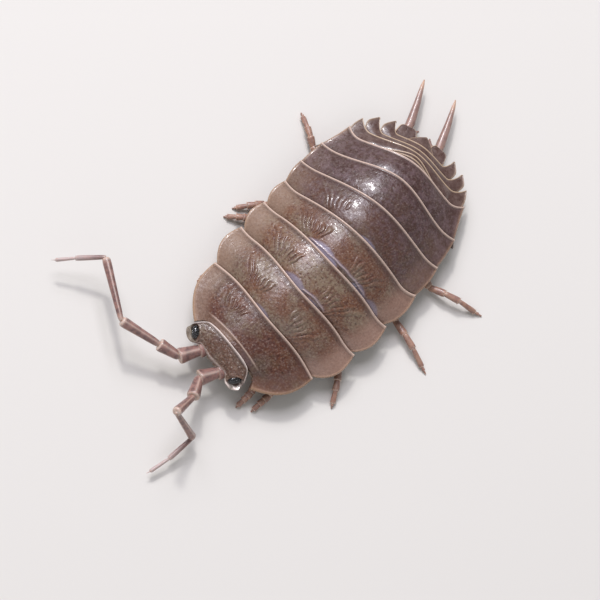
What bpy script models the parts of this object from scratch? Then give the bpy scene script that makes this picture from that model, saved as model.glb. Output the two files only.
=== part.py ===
"""A woodlouse at life size, standing with its feelers spread.

The head looks along -Y and +Z is up, so the animal's left side is at +X. The body bends gently
to one side. Sizes are in millimetres and become metres where the points are placed. A place on
the body is given as (v, u, z): v across to the left of the mid line, u back along it, z up from
the floor.
"""
import math
from dataclasses import dataclass

import bmesh
import bpy
from mathutils import Matrix, Vector

NAME = "woodlouse"
MM = 0.001
# Clear space between two pieces that touch, and the least thickness of a plate and radius of a limb
GAP = 0.30
PLATE = 0.50
LIMB = 0.25

# Linear colour and roughness of each kind of piece
FINISHES = {
    "trunk": ((0.16, 0.11, 0.10), 0.4),
    "rear": ((0.13, 0.09, 0.09), 0.4),
    "head": ((0.17, 0.12, 0.10), 0.5),
    "eye": ((0.01, 0.01, 0.012), 0.2),
    "limb": ((0.32, 0.23, 0.21), 0.5),
    "mouth": ((0.35, 0.24, 0.20), 0.5),
    "gill": ((0.42, 0.33, 0.28), 0.5),
}

# Middle of the footprint, in the body's own frame
ORIGIN_X = -1.64
ORIGIN_Y = -2.58

# The mid line seen from above: a soft bow of this slope and half length
SPINE_X = -0.05
BOW_SLOPE = math.tan(math.radians(8.5))
BOW_LENGTH = 4.2
BOW_MIDDLE = 0.9

# Places across and along a plate where its points lie, as shares of its half width and its length
ACROSS = [i / 8 - 1 for i in range(17)]
ALONG = [0.0, 0.12, 0.35, 0.65, 0.88, 1.0]
# Arch across a plate: this share of it is a parabola, the rest falls level at the side edge
ARCH_SHARE = 0.6
# Share of the half width where the rear edge turns from the back to the side
FLANK = 0.76
# Drop of the front of a plate below the one before it, over this share of its length
STEP = 0.22
STEP_LENGTH = 0.35
# Swell along a plate, slant of its end faces, and taper towards its underside
CROWN = 0.06
FACE_SLANT = 0.30
UNDER_TAPER = 0.985
# Underside: level belly out to one share across, then up into the plate by the other
BELLY = 1.60
BELLY_HALF = 0.52
GROOVE_HALF = 0.70

# Head: half width, rear border, brow, crest, and the floor of the throat in the middle and at the side
HEAD_STATIONS = 17
HEAD_EVEN = 0.6
HEAD_HALF = 2.32
HEAD_REAR = -8.90
HEAD_REAR_SWING = 0.62
HEAD_REAR_STRAIGHT = 0.72
HEAD_FRONT = -10.27
HEAD_NOTCH = 0.06
HEAD_CREST = 2.80
HEAD_CREST_FALL = 0.66
HEAD_CREST_POWER = 2.4
HEAD_BROW = 2.02
HEAD_BOTTOM = 1.20
HEAD_SIDE_BOTTOM = 1.46
# Share of the half width where the throat starts to rise, its middle row, and the slant of the neck
THROAT_SHARE = 0.55
THROAT_MIDDLE = 0.40
NECK_SLANT = 0.34
# Back rows: share from the rear border to the brow, share of the fall from crest to brow, and dip
HEAD_ROWS = [(0.0, 0.0, 0.12), (0.16, 0.0, 0.0), (0.55, 0.30, 0.0), (0.86, 0.80, 0.0), (1.0, 1.0, 0.04)]
FACE_SLOPE = 0.42
FACE_LIP = 0.30
FACE_SHARE = 0.35
# Side lobes of the brow: reach, drop and inner end
LOBE = 0.34
LOBE_DROP = 0.16
LOBE_INNER = 1.15
LOBE_OUTER = 2.57

EYE_V = 1.86
EYE_U = -10.00
EYE_Z = 2.02
EYE_LONG = 0.44
EYE_WIDE = 0.29
EYE_HIGH = 0.26
EYE_SINK = 0.10
EYE_TILT = math.radians(36)
EYE_TURN = math.radians(38)
EYE_ROOM = 0.13
SEAT_DEPTH = 1.2
DOME_TOLERANCE = 0.0001

# Palps below the head: place along, half width and lowest point; and their rise across
MOUTH_RINGS = [(-9.05, 0.62, 0.62), (-9.35, 0.78, 0.50), (-9.75, 0.70, 0.46), (-10.00, 0.42, 0.58)]
MOUTH_ACROSS = [-1.0, -0.5, 0.0, 0.5, 1.0]
MOUTH_KEEL = [0.16, 0.0, 0.14, 0.0, 0.16]

# Rear body
PLEON_ALONG = [0.0, 0.35, 0.7, 1.0]
PLEON_STEP = 0.13
PLEON_STEP_LENGTH = 0.45
PLEON_RIM_STEP = 0.4
PLEON_BELLY = 1.35
PLEON_BELLY_HALF = 1.7
PLEON_GROOVE_HALF = 2.4
PLEON_TAPER = 0.97

TELSON_FRONT = 9.14
TELSON_TIP = 9.66
TELSON_HALF = 1.00
TELSON_TIP_HALF = 0.16
TELSON_SIDE = 1.2
TELSON_Z = 1.72
TELSON_TIP_Z = 1.34
TELSON_CROWN = 0.14
TELSON_FLATTENING = 0.6
TELSON_THICK = 0.44
TELSON_ALONG = [0.0, 0.3, 0.6, 0.85, 1.0]
TELSON_ACROSS = [-1.0, -0.5, 0.0, 0.5, 1.0]

# Gill flaps: count, first place and pitch, length, reach across, and hang at the front and rear edge
FLAPS = 5
FLAP_START = 7.55
FLAP_PITCH = 0.33
FLAP_LENGTH = 0.30
FLAP_INNER = 0.16
FLAP_OUTER = 1.55
FLAP_NARROWING = 0.07
FLAP_HANG = (0.32, 0.50)
FLAP_SWELL = 0.12
FLAP_ROOM = 0.04
FLAP_ACROSS = [0.0, 0.35, 0.7, 1.0]


@dataclass(frozen=True)
class Margin:
    """The rear edge of a plate: how far back it lies, half width, heights and lean to the left."""

    middle: float
    flank: float
    end: float
    half: float
    crest: float
    rim: float
    shift: float = 0.0

    def back(self, v):
        """How far back the edge lies at v."""
        share = min(abs(v - self.shift) / self.half, 1.0)
        if share < FLANK:
            return mix(self.middle, self.flank, smooth(share / FLANK))
        return mix(self.flank, self.end, ((share - FLANK) / (1 - FLANK)) ** 2)

    def at(self, s, half):
        """How far back the edge lies at the share s of a half width."""
        return self.back(s * half + self.shift)


@dataclass(frozen=True)
class Plate:
    """One plate of the trunk, from the edge before it to its own rear edge."""

    name: str
    front: Margin
    rear: Margin
    front_half: float
    rounding: float
    bulge: float

    def half(self, r):
        """Half width at the share r of the plate's length."""
        grown = 1 - (1 - r) ** self.rounding
        return mix(self.front_half, self.rear.half, grown) + self.bulge * math.sin(math.pi * r)

    def lift(self, r):
        """Height above the even line between the two edges, which makes the step to the plate before."""
        return CROWN * math.sin(math.pi * r) - STEP * max(0.0, 1 - r / STEP_LENGTH)

    def top(self, s, r):
        """A point on the back, at the share s across and r along."""
        v = s * self.half(r) + mix(self.front.shift, self.rear.shift, r)
        gap = 0.0 if self.front is HEAD_EDGE else GAP
        u = mix(self.front.at(s, self.front_half) + gap, self.rear.at(s, self.rear.half), r)
        crest = mix(self.front.crest, self.rear.crest, r) + self.lift(r)
        rim = mix(self.front.rim, self.rear.rim, r)
        return v, u, mix(rim, crest, arch(s))

    def under(self, s, r):
        """The point of the underside below top(s, r)."""
        v, u, z = self.top(s, r)
        share = smooth((abs(s) - BELLY_HALF) / (GROOVE_HALF - BELLY_HALF))
        low = mix(BELLY, z - PLATE, share)
        return v * UNDER_TAPER, u - FACE_SLANT * (z - low), low

    def ring(self, r):
        """The closed outline round the plate at the share r."""
        return [self.top(s, r) for s in ACROSS] + [self.under(s, r) for s in reversed(ACROSS)]


@dataclass(frozen=True)
class Limb:
    """A leg by where its knee and its foot stand, and how high the shin rises outside the edge."""

    knee: tuple
    foot: tuple
    rise: float


def smooth(t):
    """A step from 0 to 1 with level ends."""
    t = min(max(t, 0.0), 1.0)
    return t * t * (3 - 2 * t)


def mix(a, b, t):
    """The value at the share t between a and b."""
    return a + (b - a) * t


def between(a, b, t):
    """The place at the share t between the places a and b."""
    return tuple(mix(p, q, t) for p, q in zip(a, b))


def arch(s):
    """Share of the height at s across: round over the back, flatter towards the side edge."""
    return mix(0.5 * (1 + math.cos(math.pi * s)), 1 - s * s, ARCH_SHARE)


def place(v, u, z):
    """The point in metres of a place on the body."""
    swing = (u - BOW_MIDDLE) / BOW_LENGTH
    x = SPINE_X - BOW_SLOPE * BOW_LENGTH * math.log(math.cosh(swing))
    slope = -BOW_SLOPE * math.tanh(swing)
    norm = math.hypot(1, slope)
    return Vector((x + v / norm - ORIGIN_X, u - v * slope / norm - ORIGIN_Y, z)) * MM


HEAD_EDGE = Margin(middle=-8.58, flank=-8.60, end=-9.48, half=2.62, crest=2.82, rim=1.60, shift=0.20)
EDGES = [
    HEAD_EDGE,
    Margin(middle=-6.38, flank=-6.02, end=-6.07, half=4.56, crest=3.30, rim=1.50, shift=0.14),
    Margin(middle=-3.90, flank=-3.42, end=-3.23, half=5.15, crest=3.85, rim=1.50, shift=0.07),
    Margin(middle=-1.42, flank=-1.04, end=-0.82, half=5.26, crest=4.20, rim=1.50),
    Margin(middle=1.04, flank=1.14, end=1.55, half=5.26, crest=4.30, rim=1.50),
    Margin(middle=3.35, flank=3.28, end=3.50, half=5.28, crest=4.25, rim=1.50, shift=-0.04),
    Margin(middle=5.63, flank=5.18, end=5.42, half=5.02, crest=3.95, rim=1.48, shift=0.07),
    Margin(middle=7.15, flank=6.90, end=7.45, half=4.30, crest=3.35, rim=1.42, shift=0.15),
]
# Half width at the front of each trunk plate, how soon it widens, and how far its side swells
FRONT_HALVES = [2.62, 4.36, 4.80, 5.00, 5.24, 5.24, 4.98]
ROUNDINGS = [3.0, 4.0, 4.0, 4.0, 2.2, 1.6, 1.6]
BULGES = [0.0, 0.24, 0.26, 0.22, 0.10, 0.07, 0.06]

# The five short plates of the rear body; the last three end in hooked points
PLEON_EDGES = [
    Margin(middle=7.62, flank=7.36, end=7.40, half=2.66, crest=3.05, rim=1.95, shift=0.13),
    Margin(middle=7.86, flank=7.50, end=7.56, half=2.78, crest=2.85, rim=1.80, shift=0.12),
    Margin(middle=8.12, flank=7.72, end=8.38, half=3.86, crest=2.58, rim=1.35, shift=0.12),
    Margin(middle=8.46, flank=8.22, end=9.10, half=3.08, crest=2.28, rim=1.28, shift=0.18),
    Margin(middle=8.84, flank=8.76, end=9.52, half=2.18, crest=1.95, rim=1.22, shift=0.23),
]
PLEON_FRONT_HALVES = [2.56, 2.66, 3.92, 3.24, 2.46]
PLEON_BULGES = [0.0, 0.0, 0.22, 0.26, 0.22]

LEGS = {
    "left": [
        Limb(knee=(2.96, -9.23), foot=(3.07, -10.40), rise=0.10),
        Limb(knee=(3.77, -8.50), foot=(3.83, -9.85), rise=0.05),
        Limb(knee=(5.28, -4.25), foot=(6.72, -5.92), rise=0.20),
        Limb(knee=(4.70, -0.30), foot=(4.95, -2.55), rise=0.00),
        Limb(knee=(5.40, 0.03), foot=(8.95, -0.70), rise=0.30),
        Limb(knee=(5.60, 2.62), foot=(9.20, 3.30), rise=0.50),
        Limb(knee=(4.12, 5.55), foot=(4.40, 7.35), rise=0.00),
    ],
    "right": [
        Limb(knee=(3.10, -7.30), foot=(3.00, -8.62), rise=0.00),
        Limb(knee=(4.15, -5.30), foot=(4.30, -7.25), rise=0.00),
        Limb(knee=(5.15, -2.02), foot=(6.31, -3.20), rise=0.15),
        Limb(knee=(5.25, -0.55), foot=(6.35, -2.35), rise=0.15),
        Limb(knee=(4.70, 2.50), foot=(5.05, 0.60), rise=0.00),
        Limb(knee=(5.20, 5.15), foot=(6.98, 6.75), rise=0.25),
        Limb(knee=(3.82, 5.95), foot=(3.95, 7.45), rise=0.00),
    ],
}
# Share of the way from hip to knee, or from knee to foot, where each article ends, and its thickest radius
THIGH_ARTICLES = [(0.62, 0.33), (1.00, 0.31)]
SHIN_ARTICLES = [(0.26, 0.30), (0.52, 0.28), (0.88, 0.25)]
# Share along an article and its thickness there, with a waist after each joint
WAIST = [(0.16, 0.86), (0.78, 1.0), (1.0, 0.84)]
# Claw, which lies level: share of the way from knee to foot, and radius
CLAW = [(0.82, 0.17), (0.90, 0.17), (1.00, 0.085)]
# Coxa: its place under the plate, and its radius at each drop below its top
COXA_SHARE = 0.44
COXA = [(0.0, 0.38), (0.34, 0.38), (0.56, 0.34), (0.74, 0.25)]
HIP_DROP = 0.52
HIP_RADIUS = 0.28
# Share by which thigh and shin run past the knee, inside each other, and their radius there
KNEE_LAP = 0.08
KNEE_INNER = 0.15
KNEE_HEIGHT = 0.46
FOOT_HEIGHT = 0.11
# Height that counts as the floor, in metres
SOLE_TOLERANCE = 0.00000001

# Joints of each feeler from the head out, and the radius of the article that ends there
FEELERS = {
    "left": [
        ((0.86, -10.46, 1.58), 0.36),
        ((0.40, -11.47, 1.66), 0.42),
        ((1.08, -12.68, 2.28), 0.33),
        ((1.26, -14.62, 4.20), 0.30),
        ((2.89, -13.86, 0.85), 0.26),
        ((2.98, -15.76, 0.66), 0.25),
        ((2.86, -17.40, 0.52), 0.10),
    ],
    "right": [
        ((-0.86, -10.46, 1.58), 0.36),
        ((-1.36, -11.58, 1.60), 0.42),
        ((-2.62, -12.14, 1.90), 0.33),
        ((-5.07, -13.22, 2.60), 0.30),
        ((-8.63, -11.40, 2.30), 0.26),
        ((-9.75, -12.71, 1.70), 0.25),
        ((-10.58, -13.83, 1.30), 0.10),
    ],
}

# Tail feelers: joints from under the tail plate out, with the radius there
UROPODS = {
    "left": [
        ((1.42, 9.24, 1.00), 0.34),
        ((1.40, 9.52, 0.98), 0.42),
        ((1.22, 9.74, 0.98), 0.36),
        ((1.14, 9.98, 0.97), 0.36),
        ((0.82, 11.40, 0.92), 0.28),
        ((0.36, 12.92, 0.88), 0.10),
    ],
    "right": [
        ((-1.10, 9.24, 1.00), 0.34),
        ((-1.08, 9.52, 0.98), 0.42),
        ((-1.10, 9.74, 0.98), 0.36),
        ((-1.14, 9.98, 0.97), 0.36),
        ((-1.49, 11.40, 0.92), 0.28),
        ((-1.90, 12.86, 0.88), 0.10),
    ],
}
# Its short inner branch, on the left side
INNER_BRANCH = [((1.00, 9.50, 0.62), 0.25), ((0.62, 9.62, 0.42), 0.25), ((0.40, 10.02, 0.40), 0.12)]


def add_object(name, mesh, kind, collection):
    """Put a mesh in the collection as a named object with its own plain finish.

    Args:
        name: name of the object and its finish.
        mesh: the closed mesh, in world space.
        kind: which of FINISHES it has.
        collection: where it goes.

    Returns:
        The object.
    """
    colour, roughness = FINISHES[kind]
    finish = bpy.data.materials.new(name)
    finish.use_nodes = True
    shader = finish.node_tree.nodes["Principled BSDF"]
    shader.inputs["Base Color"].default_value = (*colour, 1.0)
    shader.inputs["Roughness"].default_value = roughness
    mesh.materials.append(finish)
    piece = bpy.data.objects.new(name, mesh)
    collection.objects.link(piece)
    return piece


def to_mesh(name, shape):
    """Turn a bmesh into a mesh with its faces outwards, and free it."""
    bmesh.ops.recalc_face_normals(shape, faces=shape.faces)
    mesh = bpy.data.meshes.new(name)
    shape.to_mesh(mesh)
    shape.free()
    return mesh


def loft(name, rings):
    """A closed skin over rings of alike points, each a back row and then the underside in reverse.

    Args:
        name: the mesh's name.
        rings: the closed outlines in body places, in order.

    Returns:
        The mesh.
    """
    shell = bmesh.new()
    rows = [[shell.verts.new(place(*point)) for point in ring] for ring in rings]
    count = len(rows[0])
    for near, far in zip(rows, rows[1:]):
        for i in range(count):
            j = (i + 1) % count
            shell.faces.new((near[i], near[j], far[j], far[i]))
    for row in (rows[0], rows[-1]):
        for i in range(count // 2 - 1):
            shell.faces.new((row[i], row[i + 1], row[-2 - i], row[-1 - i]))
    return to_mesh(name, shell)


def tube(name, path):
    """A jointed round limb.

    Args:
        name: the mesh's name.
        path: (point in metres, radius in millimetres) from root to tip.

    Returns:
        The closed mesh, in world space.
    """
    curve = bpy.data.curves.new(name, "CURVE")
    curve.dimensions = "3D"
    curve.bevel_depth = MM
    curve.bevel_resolution = 2
    curve.use_fill_caps = True
    spline = curve.splines.new("POLY")
    spline.points.add(len(path) - 1)
    for knot, (point, radius) in zip(spline.points, path):
        knot.co = (*point, 1.0)
        knot.radius = radius
    guide = bpy.data.objects.new(name, curve)
    bpy.context.scene.collection.objects.link(guide)
    bpy.context.view_layer.update()
    swept = bpy.data.meshes.new_from_object(guide.evaluated_get(bpy.context.evaluated_depsgraph_get()))
    bpy.data.objects.remove(guide)
    bpy.data.curves.remove(curve)
    skin = bmesh.new()
    skin.from_mesh(swept)
    bpy.data.meshes.remove(swept)
    bmesh.ops.remove_doubles(skin, verts=skin.verts, dist=0.000001)
    return to_mesh(name, skin)


def articles(start, stop, ends, height):
    """Knots of a stretch of jointed limb: each article has a waist at its root and swells to its end.

    Args:
        start: (v, u) where the stretch begins.
        stop: (v, u) where it ends.
        ends: (share of the way, radius) for each article.
        height: function from the share of the way to the height of the middle of the limb.

    Returns:
        A list of (point, radius).
    """
    knots = []
    begin = 0.0
    for end, radius in ends:
        for share, girth in WAIST:
            way = mix(begin, end, share)
            knots.append((place(*between(start, stop, way), height(way)), max(radius * girth, LIMB)))
        begin = end
    return knots


def fuse(name, stretches):
    """One closed mesh from stretches that pass into each other.

    Args:
        name: the mesh's name.
        stretches: closed meshes in world space.

    Returns:
        The fused mesh.
    """
    body = bpy.data.objects.new(name, stretches[0])
    bpy.context.scene.collection.objects.link(body)
    for stretch in stretches[1:]:
        helper = bpy.data.objects.new("stretch", stretch)
        bpy.context.scene.collection.objects.link(helper)
        joint = body.modifiers.new("join", "BOOLEAN")
        joint.operation = "UNION"
        joint.solver = "EXACT"
        joint.object = helper
        bpy.context.view_layer.update()
        fused = bpy.data.meshes.new_from_object(body.evaluated_get(bpy.context.evaluated_depsgraph_get()))
        body.modifiers.clear()
        body.data = fused
        bpy.data.objects.remove(helper)
    bpy.data.objects.remove(body)
    return fused


def keep_above(shape, tolerance):
    """Cut a closed bmesh level at z = 0, keep its upper part and close it.

    Args:
        shape: the bmesh.
        tolerance: height within which a point counts as on the cut.
    """
    cut = bmesh.ops.bisect_plane(shape, geom=shape.verts[:] + shape.edges[:] + shape.faces[:],
                                 dist=tolerance, plane_co=(0, 0, 0), plane_no=(0, 0, 1), clear_inner=True)
    rim = [edge for edge in cut["geom_cut"] if isinstance(edge, bmesh.types.BMEdge)]
    bmesh.ops.edgeloop_fill(shape, edges=rim)


def make_trunk(collection):
    """The seven shingled plates of the trunk.

    Returns:
        The plates, from the head back.
    """
    plates = []
    for i, (front, rear) in enumerate(zip(EDGES, EDGES[1:])):
        plate = Plate(f"pereonite_{i + 1}", front, rear, FRONT_HALVES[i], ROUNDINGS[i], BULGES[i])
        mesh = loft(plate.name, [plate.ring(r) for r in ALONG])
        add_object(plate.name, mesh, "trunk", collection)
        plates.append(plate)
    return plates


def pleon_ring(front, rear, front_half, bulge, r):
    """The outline round one plate of the rear body.

    Args:
        front: rear edge of the plate before it.
        rear: its own rear edge.
        front_half: half width at its front.
        bulge: how far its side swells.
        r: share of its length.

    Returns:
        The points, back row first.
    """
    half = mix(front_half, rear.half, r) + bulge * math.sin(math.pi * r)
    shift = mix(front.shift, rear.shift, r)
    step = PLEON_STEP * (1 - smooth(r / PLEON_STEP_LENGTH))
    crest = mix(front.crest, rear.crest, r) - step
    rim = mix(front.rim, rear.rim, r) - PLEON_RIM_STEP * step
    back, belly = [], []
    for s in ACROSS:
        v = s * half + shift
        u = mix(max(front.back(v), EDGES[-1].back(v) + GAP), rear.back(v), r)
        z = mix(rim, crest, arch(s))
        share = smooth((abs(v) - PLEON_BELLY_HALF) / (PLEON_GROOVE_HALF - PLEON_BELLY_HALF))
        low = mix(min(PLEON_BELLY, z - PLATE), z - PLATE, share)
        back.append((v, u, z))
        belly.append((v * PLEON_TAPER, u, low))
    return back + belly[::-1]


def make_pleon(collection):
    """The five short plates of the rear body, stepped like shingles in one piece."""
    rings = []
    fronts = [EDGES[-1]] + PLEON_EDGES[:-1]
    for front, rear, front_half, bulge in zip(fronts, PLEON_EDGES, PLEON_FRONT_HALVES, PLEON_BULGES):
        rings += [pleon_ring(front, rear, front_half, bulge, r) for r in PLEON_ALONG]
    add_object("pleon", loft("pleon", rings), "rear", collection)


def make_telson(collection):
    """The short triangular tail plate."""
    rings = []
    for r in TELSON_ALONG:
        half = mix(TELSON_HALF, TELSON_TIP_HALF, r ** TELSON_SIDE)
        u = mix(TELSON_FRONT, TELSON_TIP, r)
        crown = TELSON_CROWN * (1 - TELSON_FLATTENING * r)
        back = [(s * half, u, mix(TELSON_Z, TELSON_TIP_Z, r) + crown * (1 - s * s)) for s in TELSON_ACROSS]
        belly = [(v, u, z - TELSON_THICK) for v, u, z in back]
        rings.append(back + belly[::-1])
    add_object("telson", loft("telson", rings), "rear", collection)


def head_profile(v):
    """The outline fore and aft through the head at v: rear to brow over the back, then face and throat."""
    out = abs(v) / HEAD_HALF
    swing = max(0.0, (out - HEAD_REAR_STRAIGHT) / (1 - HEAD_REAR_STRAIGHT))
    rear = HEAD_REAR - HEAD_REAR_SWING * swing ** 2
    lobe = math.sin(math.pi * max(0.0, (abs(v) - LOBE_INNER) / (LOBE_OUTER - LOBE_INNER)))
    notch = HEAD_NOTCH * math.cos(math.pi * min(1.0, abs(v) / LOBE_INNER))
    brow = HEAD_FRONT - LOBE * lobe - notch
    crest = HEAD_CREST - HEAD_CREST_FALL * out ** HEAD_CREST_POWER
    edge = HEAD_BROW - LOBE_DROP * lobe
    throat = mix(HEAD_BOTTOM, HEAD_SIDE_BOTTOM, smooth((out - THROAT_SHARE) / (1 - THROAT_SHARE)))
    face = brow + FACE_SLOPE * (1 - out / 2)
    back = [(v, mix(rear, brow, along), mix(crest, edge, fall) - dip) for along, fall, dip in HEAD_ROWS]
    front = [
        (v, rear - NECK_SLANT, throat),
        (v, mix(rear, brow, THROAT_MIDDLE), throat),
        (v, face + FACE_LIP, throat),
        (v, face, mix(throat, edge, FACE_SHARE)),
        (v, brow, edge - FACE_LIP),
    ]
    return back + front[::-1]


def eye_frame(sign):
    """The pose of an eye: its long way slants forward and out, and it looks out and up."""
    spot = Matrix.Translation(place(sign * EYE_V, EYE_U, EYE_Z))
    return spot @ Matrix.Rotation(-sign * EYE_TURN, 4, "Z") @ Matrix.Rotation(sign * EYE_TILT, 4, "Y")


def make_head(collection, cutters):
    """The head with a shallow seat for each eye."""
    stations = []
    for i in range(HEAD_STATIONS):
        share = i / (HEAD_STATIONS - 1)
        stations.append(HEAD_HALF * mix(math.sin(math.pi * (share - 0.5)), 2 * share - 1, HEAD_EVEN))
    head = add_object("head", loft("head", [head_profile(v) for v in stations]), "head", collection)
    size = Matrix.Diagonal(((EYE_WIDE + EYE_ROOM) * MM, (EYE_LONG + EYE_ROOM) * MM, SEAT_DEPTH * MM, 1.0))
    floor = Matrix.Translation((0.0, 0.0, (SEAT_DEPTH / 2 - GAP - EYE_SINK) * MM))
    for side, sign in (("left", 1), ("right", -1)):
        seat = bmesh.new()
        bmesh.ops.create_cone(seat, cap_ends=True, segments=20, radius1=1.0, radius2=1.0, depth=1.0)
        bmesh.ops.transform(seat, matrix=eye_frame(sign) @ floor @ size, verts=seat.verts)
        cutter = bpy.data.objects.new(f"seat_{side}", to_mesh(f"seat_{side}", seat))
        cutters.objects.link(cutter)
        cutter.hide_render = True
        cutter.display_type = "WIRE"
        cut = head.modifiers.new(f"seat_{side}", "BOOLEAN")
        cut.operation = "DIFFERENCE"
        cut.solver = "EXACT"
        cut.object = cutter


def make_eyes(collection):
    """The domed eyes, each a half egg with a flat base over its seat."""
    size = Matrix.Diagonal((EYE_WIDE * MM, EYE_LONG * MM, EYE_HIGH * MM, 1.0))
    sink = Matrix.Translation((0.0, 0.0, -EYE_SINK * MM))
    for side, sign in (("left", 1), ("right", -1)):
        dome = bmesh.new()
        bmesh.ops.create_uvsphere(dome, u_segments=16, v_segments=10, radius=1.0)
        keep_above(dome, DOME_TOLERANCE)
        bmesh.ops.transform(dome, matrix=eye_frame(sign) @ sink @ size, verts=dome.verts)
        add_object(f"eye_{side}", to_mesh(f"eye_{side}", dome), "eye", collection)


def make_mouthparts(collection):
    """The pair of palps below the head, closed together like a small keel."""
    rings = []
    for u, half, low in MOUTH_RINGS:
        back = [(s * half, u, HEAD_BOTTOM - GAP) for s in MOUTH_ACROSS]
        belly = [(s * half, u, low + rise) for s, rise in zip(MOUTH_ACROSS, MOUTH_KEEL)]
        rings.append(back + belly[::-1])
    add_object("mouthparts", loft("mouthparts", rings), "mouth", collection)


def make_feelers(collection):
    """The two jointed antennae."""
    for side, joints in FEELERS.items():
        path = [(place(*joints[0][0]), joints[0][1])]
        for (start, _), (stop, radius) in zip(joints, joints[1:]):
            for share, girth in WAIST:
                thick = max(radius * girth, LIMB) if radius >= LIMB else mix(LIMB, radius, share)
                path.append((place(*between(start, stop, share)), thick))
        name = f"antenna_{side}"
        add_object(name, tube(name, path), "limb", collection)


def leg_mesh(name, root, top, limb, sign):
    """One leg, fused from its coxa, thigh, shin and claw and cut flat at the floor.

    Args:
        name: the mesh's name.
        root: (v, u) of the coxa.
        top: height of the top of the coxa.
        limb: where the knee and the foot stand.
        sign: 1 on the left side, -1 on the right.

    Returns:
        The closed mesh, in world space.
    """
    knee = (sign * limb.knee[0], limb.knee[1])
    foot = (sign * limb.foot[0], limb.foot[1])
    hip = top - HIP_DROP
    coxa = [(place(*root, top - drop), radius) for drop, radius in COXA]
    thigh = [(place(*root, hip), HIP_RADIUS)]
    thigh += articles(root, knee, THIGH_ARTICLES, lambda t: mix(hip, KNEE_HEIGHT, t))
    thigh.append((place(*between(root, knee, 1 + KNEE_LAP), KNEE_HEIGHT), KNEE_INNER))
    shin = [(place(*between(knee, foot, -KNEE_LAP), KNEE_HEIGHT), KNEE_INNER)]
    shin += articles(knee, foot, SHIN_ARTICLES, lambda t: shin_height(t, limb.rise))
    claw = [(place(*between(knee, foot, share), FOOT_HEIGHT), radius) for share, radius in CLAW]
    leg = bmesh.new()
    leg.from_mesh(fuse(name, [tube(name, path) for path in (coxa, thigh, shin, claw)]))
    keep_above(leg, SOLE_TOLERANCE)
    return to_mesh(name, leg)


def shin_height(t, rise):
    """Height of the middle of the shin at the share t of the way from knee to foot."""
    drop = t / SHIN_ARTICLES[-1][0]
    return mix(KNEE_HEIGHT, FOOT_HEIGHT, drop) + rise * math.sin(math.pi * drop)


def make_legs(collection, plates):
    """Seven pairs of walking legs, each from below its plate to a small flat under the foot."""
    for (side, limbs), sign in zip(LEGS.items(), (1, -1)):
        for i, (plate, limb) in enumerate(zip(plates, limbs)):
            v, u, z = plate.under(COXA_SHARE, 0.5)
            name = f"leg_{side}_{i + 1}"
            add_object(name, leg_mesh(name, (sign * v, u), z - GAP, limb, sign), "limb", collection)


def make_uropods(collection):
    """The two tail feelers, each with its short inner branch below the tail plate."""
    for (side, joints), sign in zip(UROPODS.items(), (1, -1)):
        name = f"uropod_{side}"
        outer = [(place(*spot), radius) for spot, radius in joints]
        inner = [(place(sign * v, u, z), radius) for (v, u, z), radius in INNER_BRANCH]
        add_object(name, fuse(name, [tube(name, path) for path in (outer, inner)]), "limb", collection)


def make_pleopods(collection):
    """The overlapping gill flaps below the rear body on each side."""
    roof = PLEON_BELLY - GAP - FLAP_ROOM
    for side, sign in (("left", 1), ("right", -1)):
        rings = []
        for i in range(FLAPS):
            front = FLAP_START + FLAP_PITCH * i
            outer = FLAP_OUTER - FLAP_NARROWING * i
            for u, hang in zip((front, front + FLAP_LENGTH), FLAP_HANG):
                back = [(sign * mix(FLAP_INNER, outer, t), u, roof) for t in FLAP_ACROSS]
                belly = [(v, u + FLAP_SWELL * math.sin(math.pi * t), roof - hang + FLAP_SWELL * t)
                         for (v, u, _), t in zip(back, FLAP_ACROSS)]
                rings.append(back + belly[::-1])
        name = f"pleopods_{side}"
        add_object(name, loft(name, rings), "gill", collection)


def main():
    """Clear the scene and build the animal."""
    for item in list(bpy.data.objects):
        bpy.data.objects.remove(item)
    collection = bpy.data.collections.new(NAME)
    cutters = bpy.data.collections.new("cutters")
    bpy.context.scene.collection.children.link(collection)
    bpy.context.scene.collection.children.link(cutters)
    plates = make_trunk(collection)
    make_pleon(collection)
    make_telson(collection)
    make_head(collection, cutters)
    make_eyes(collection)
    make_mouthparts(collection)
    make_feelers(collection)
    make_legs(collection, plates)
    make_uropods(collection)
    make_pleopods(collection)


main()
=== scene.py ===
"""A life-size woodlouse, dressed: shell, head, eyes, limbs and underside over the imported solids.

Sizes are in millimetres and turned to metres where points are placed. A place on the body is
(v, u, z): v across to the animal's left of the mid line, u back along it, z up from the floor.
"""

import logging
import math
from abc import ABC, abstractmethod
from collections.abc import Iterator
from contextlib import contextmanager
from dataclasses import dataclass
from enum import Enum

import bpy
import numpy as np
from bpy.types import Material, Node, Object
from mathutils import Matrix, Vector

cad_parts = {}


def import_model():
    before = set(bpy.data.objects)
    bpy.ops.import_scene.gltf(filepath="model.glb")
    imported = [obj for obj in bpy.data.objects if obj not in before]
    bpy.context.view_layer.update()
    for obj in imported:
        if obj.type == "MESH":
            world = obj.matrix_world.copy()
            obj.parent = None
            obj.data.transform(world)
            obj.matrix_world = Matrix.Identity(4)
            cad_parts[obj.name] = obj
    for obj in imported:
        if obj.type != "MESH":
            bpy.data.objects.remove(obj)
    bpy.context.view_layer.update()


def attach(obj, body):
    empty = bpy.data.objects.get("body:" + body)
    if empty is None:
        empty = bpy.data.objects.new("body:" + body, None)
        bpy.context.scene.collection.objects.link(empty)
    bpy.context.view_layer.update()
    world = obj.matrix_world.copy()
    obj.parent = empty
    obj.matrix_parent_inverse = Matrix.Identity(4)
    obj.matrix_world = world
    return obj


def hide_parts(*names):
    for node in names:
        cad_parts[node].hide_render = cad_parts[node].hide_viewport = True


MM = 0.001
# In place of zero, where something is divided by it
NOTHING = 1e-9
BODY = "root"
LOG = logging.getLogger("woodlouse")

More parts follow.
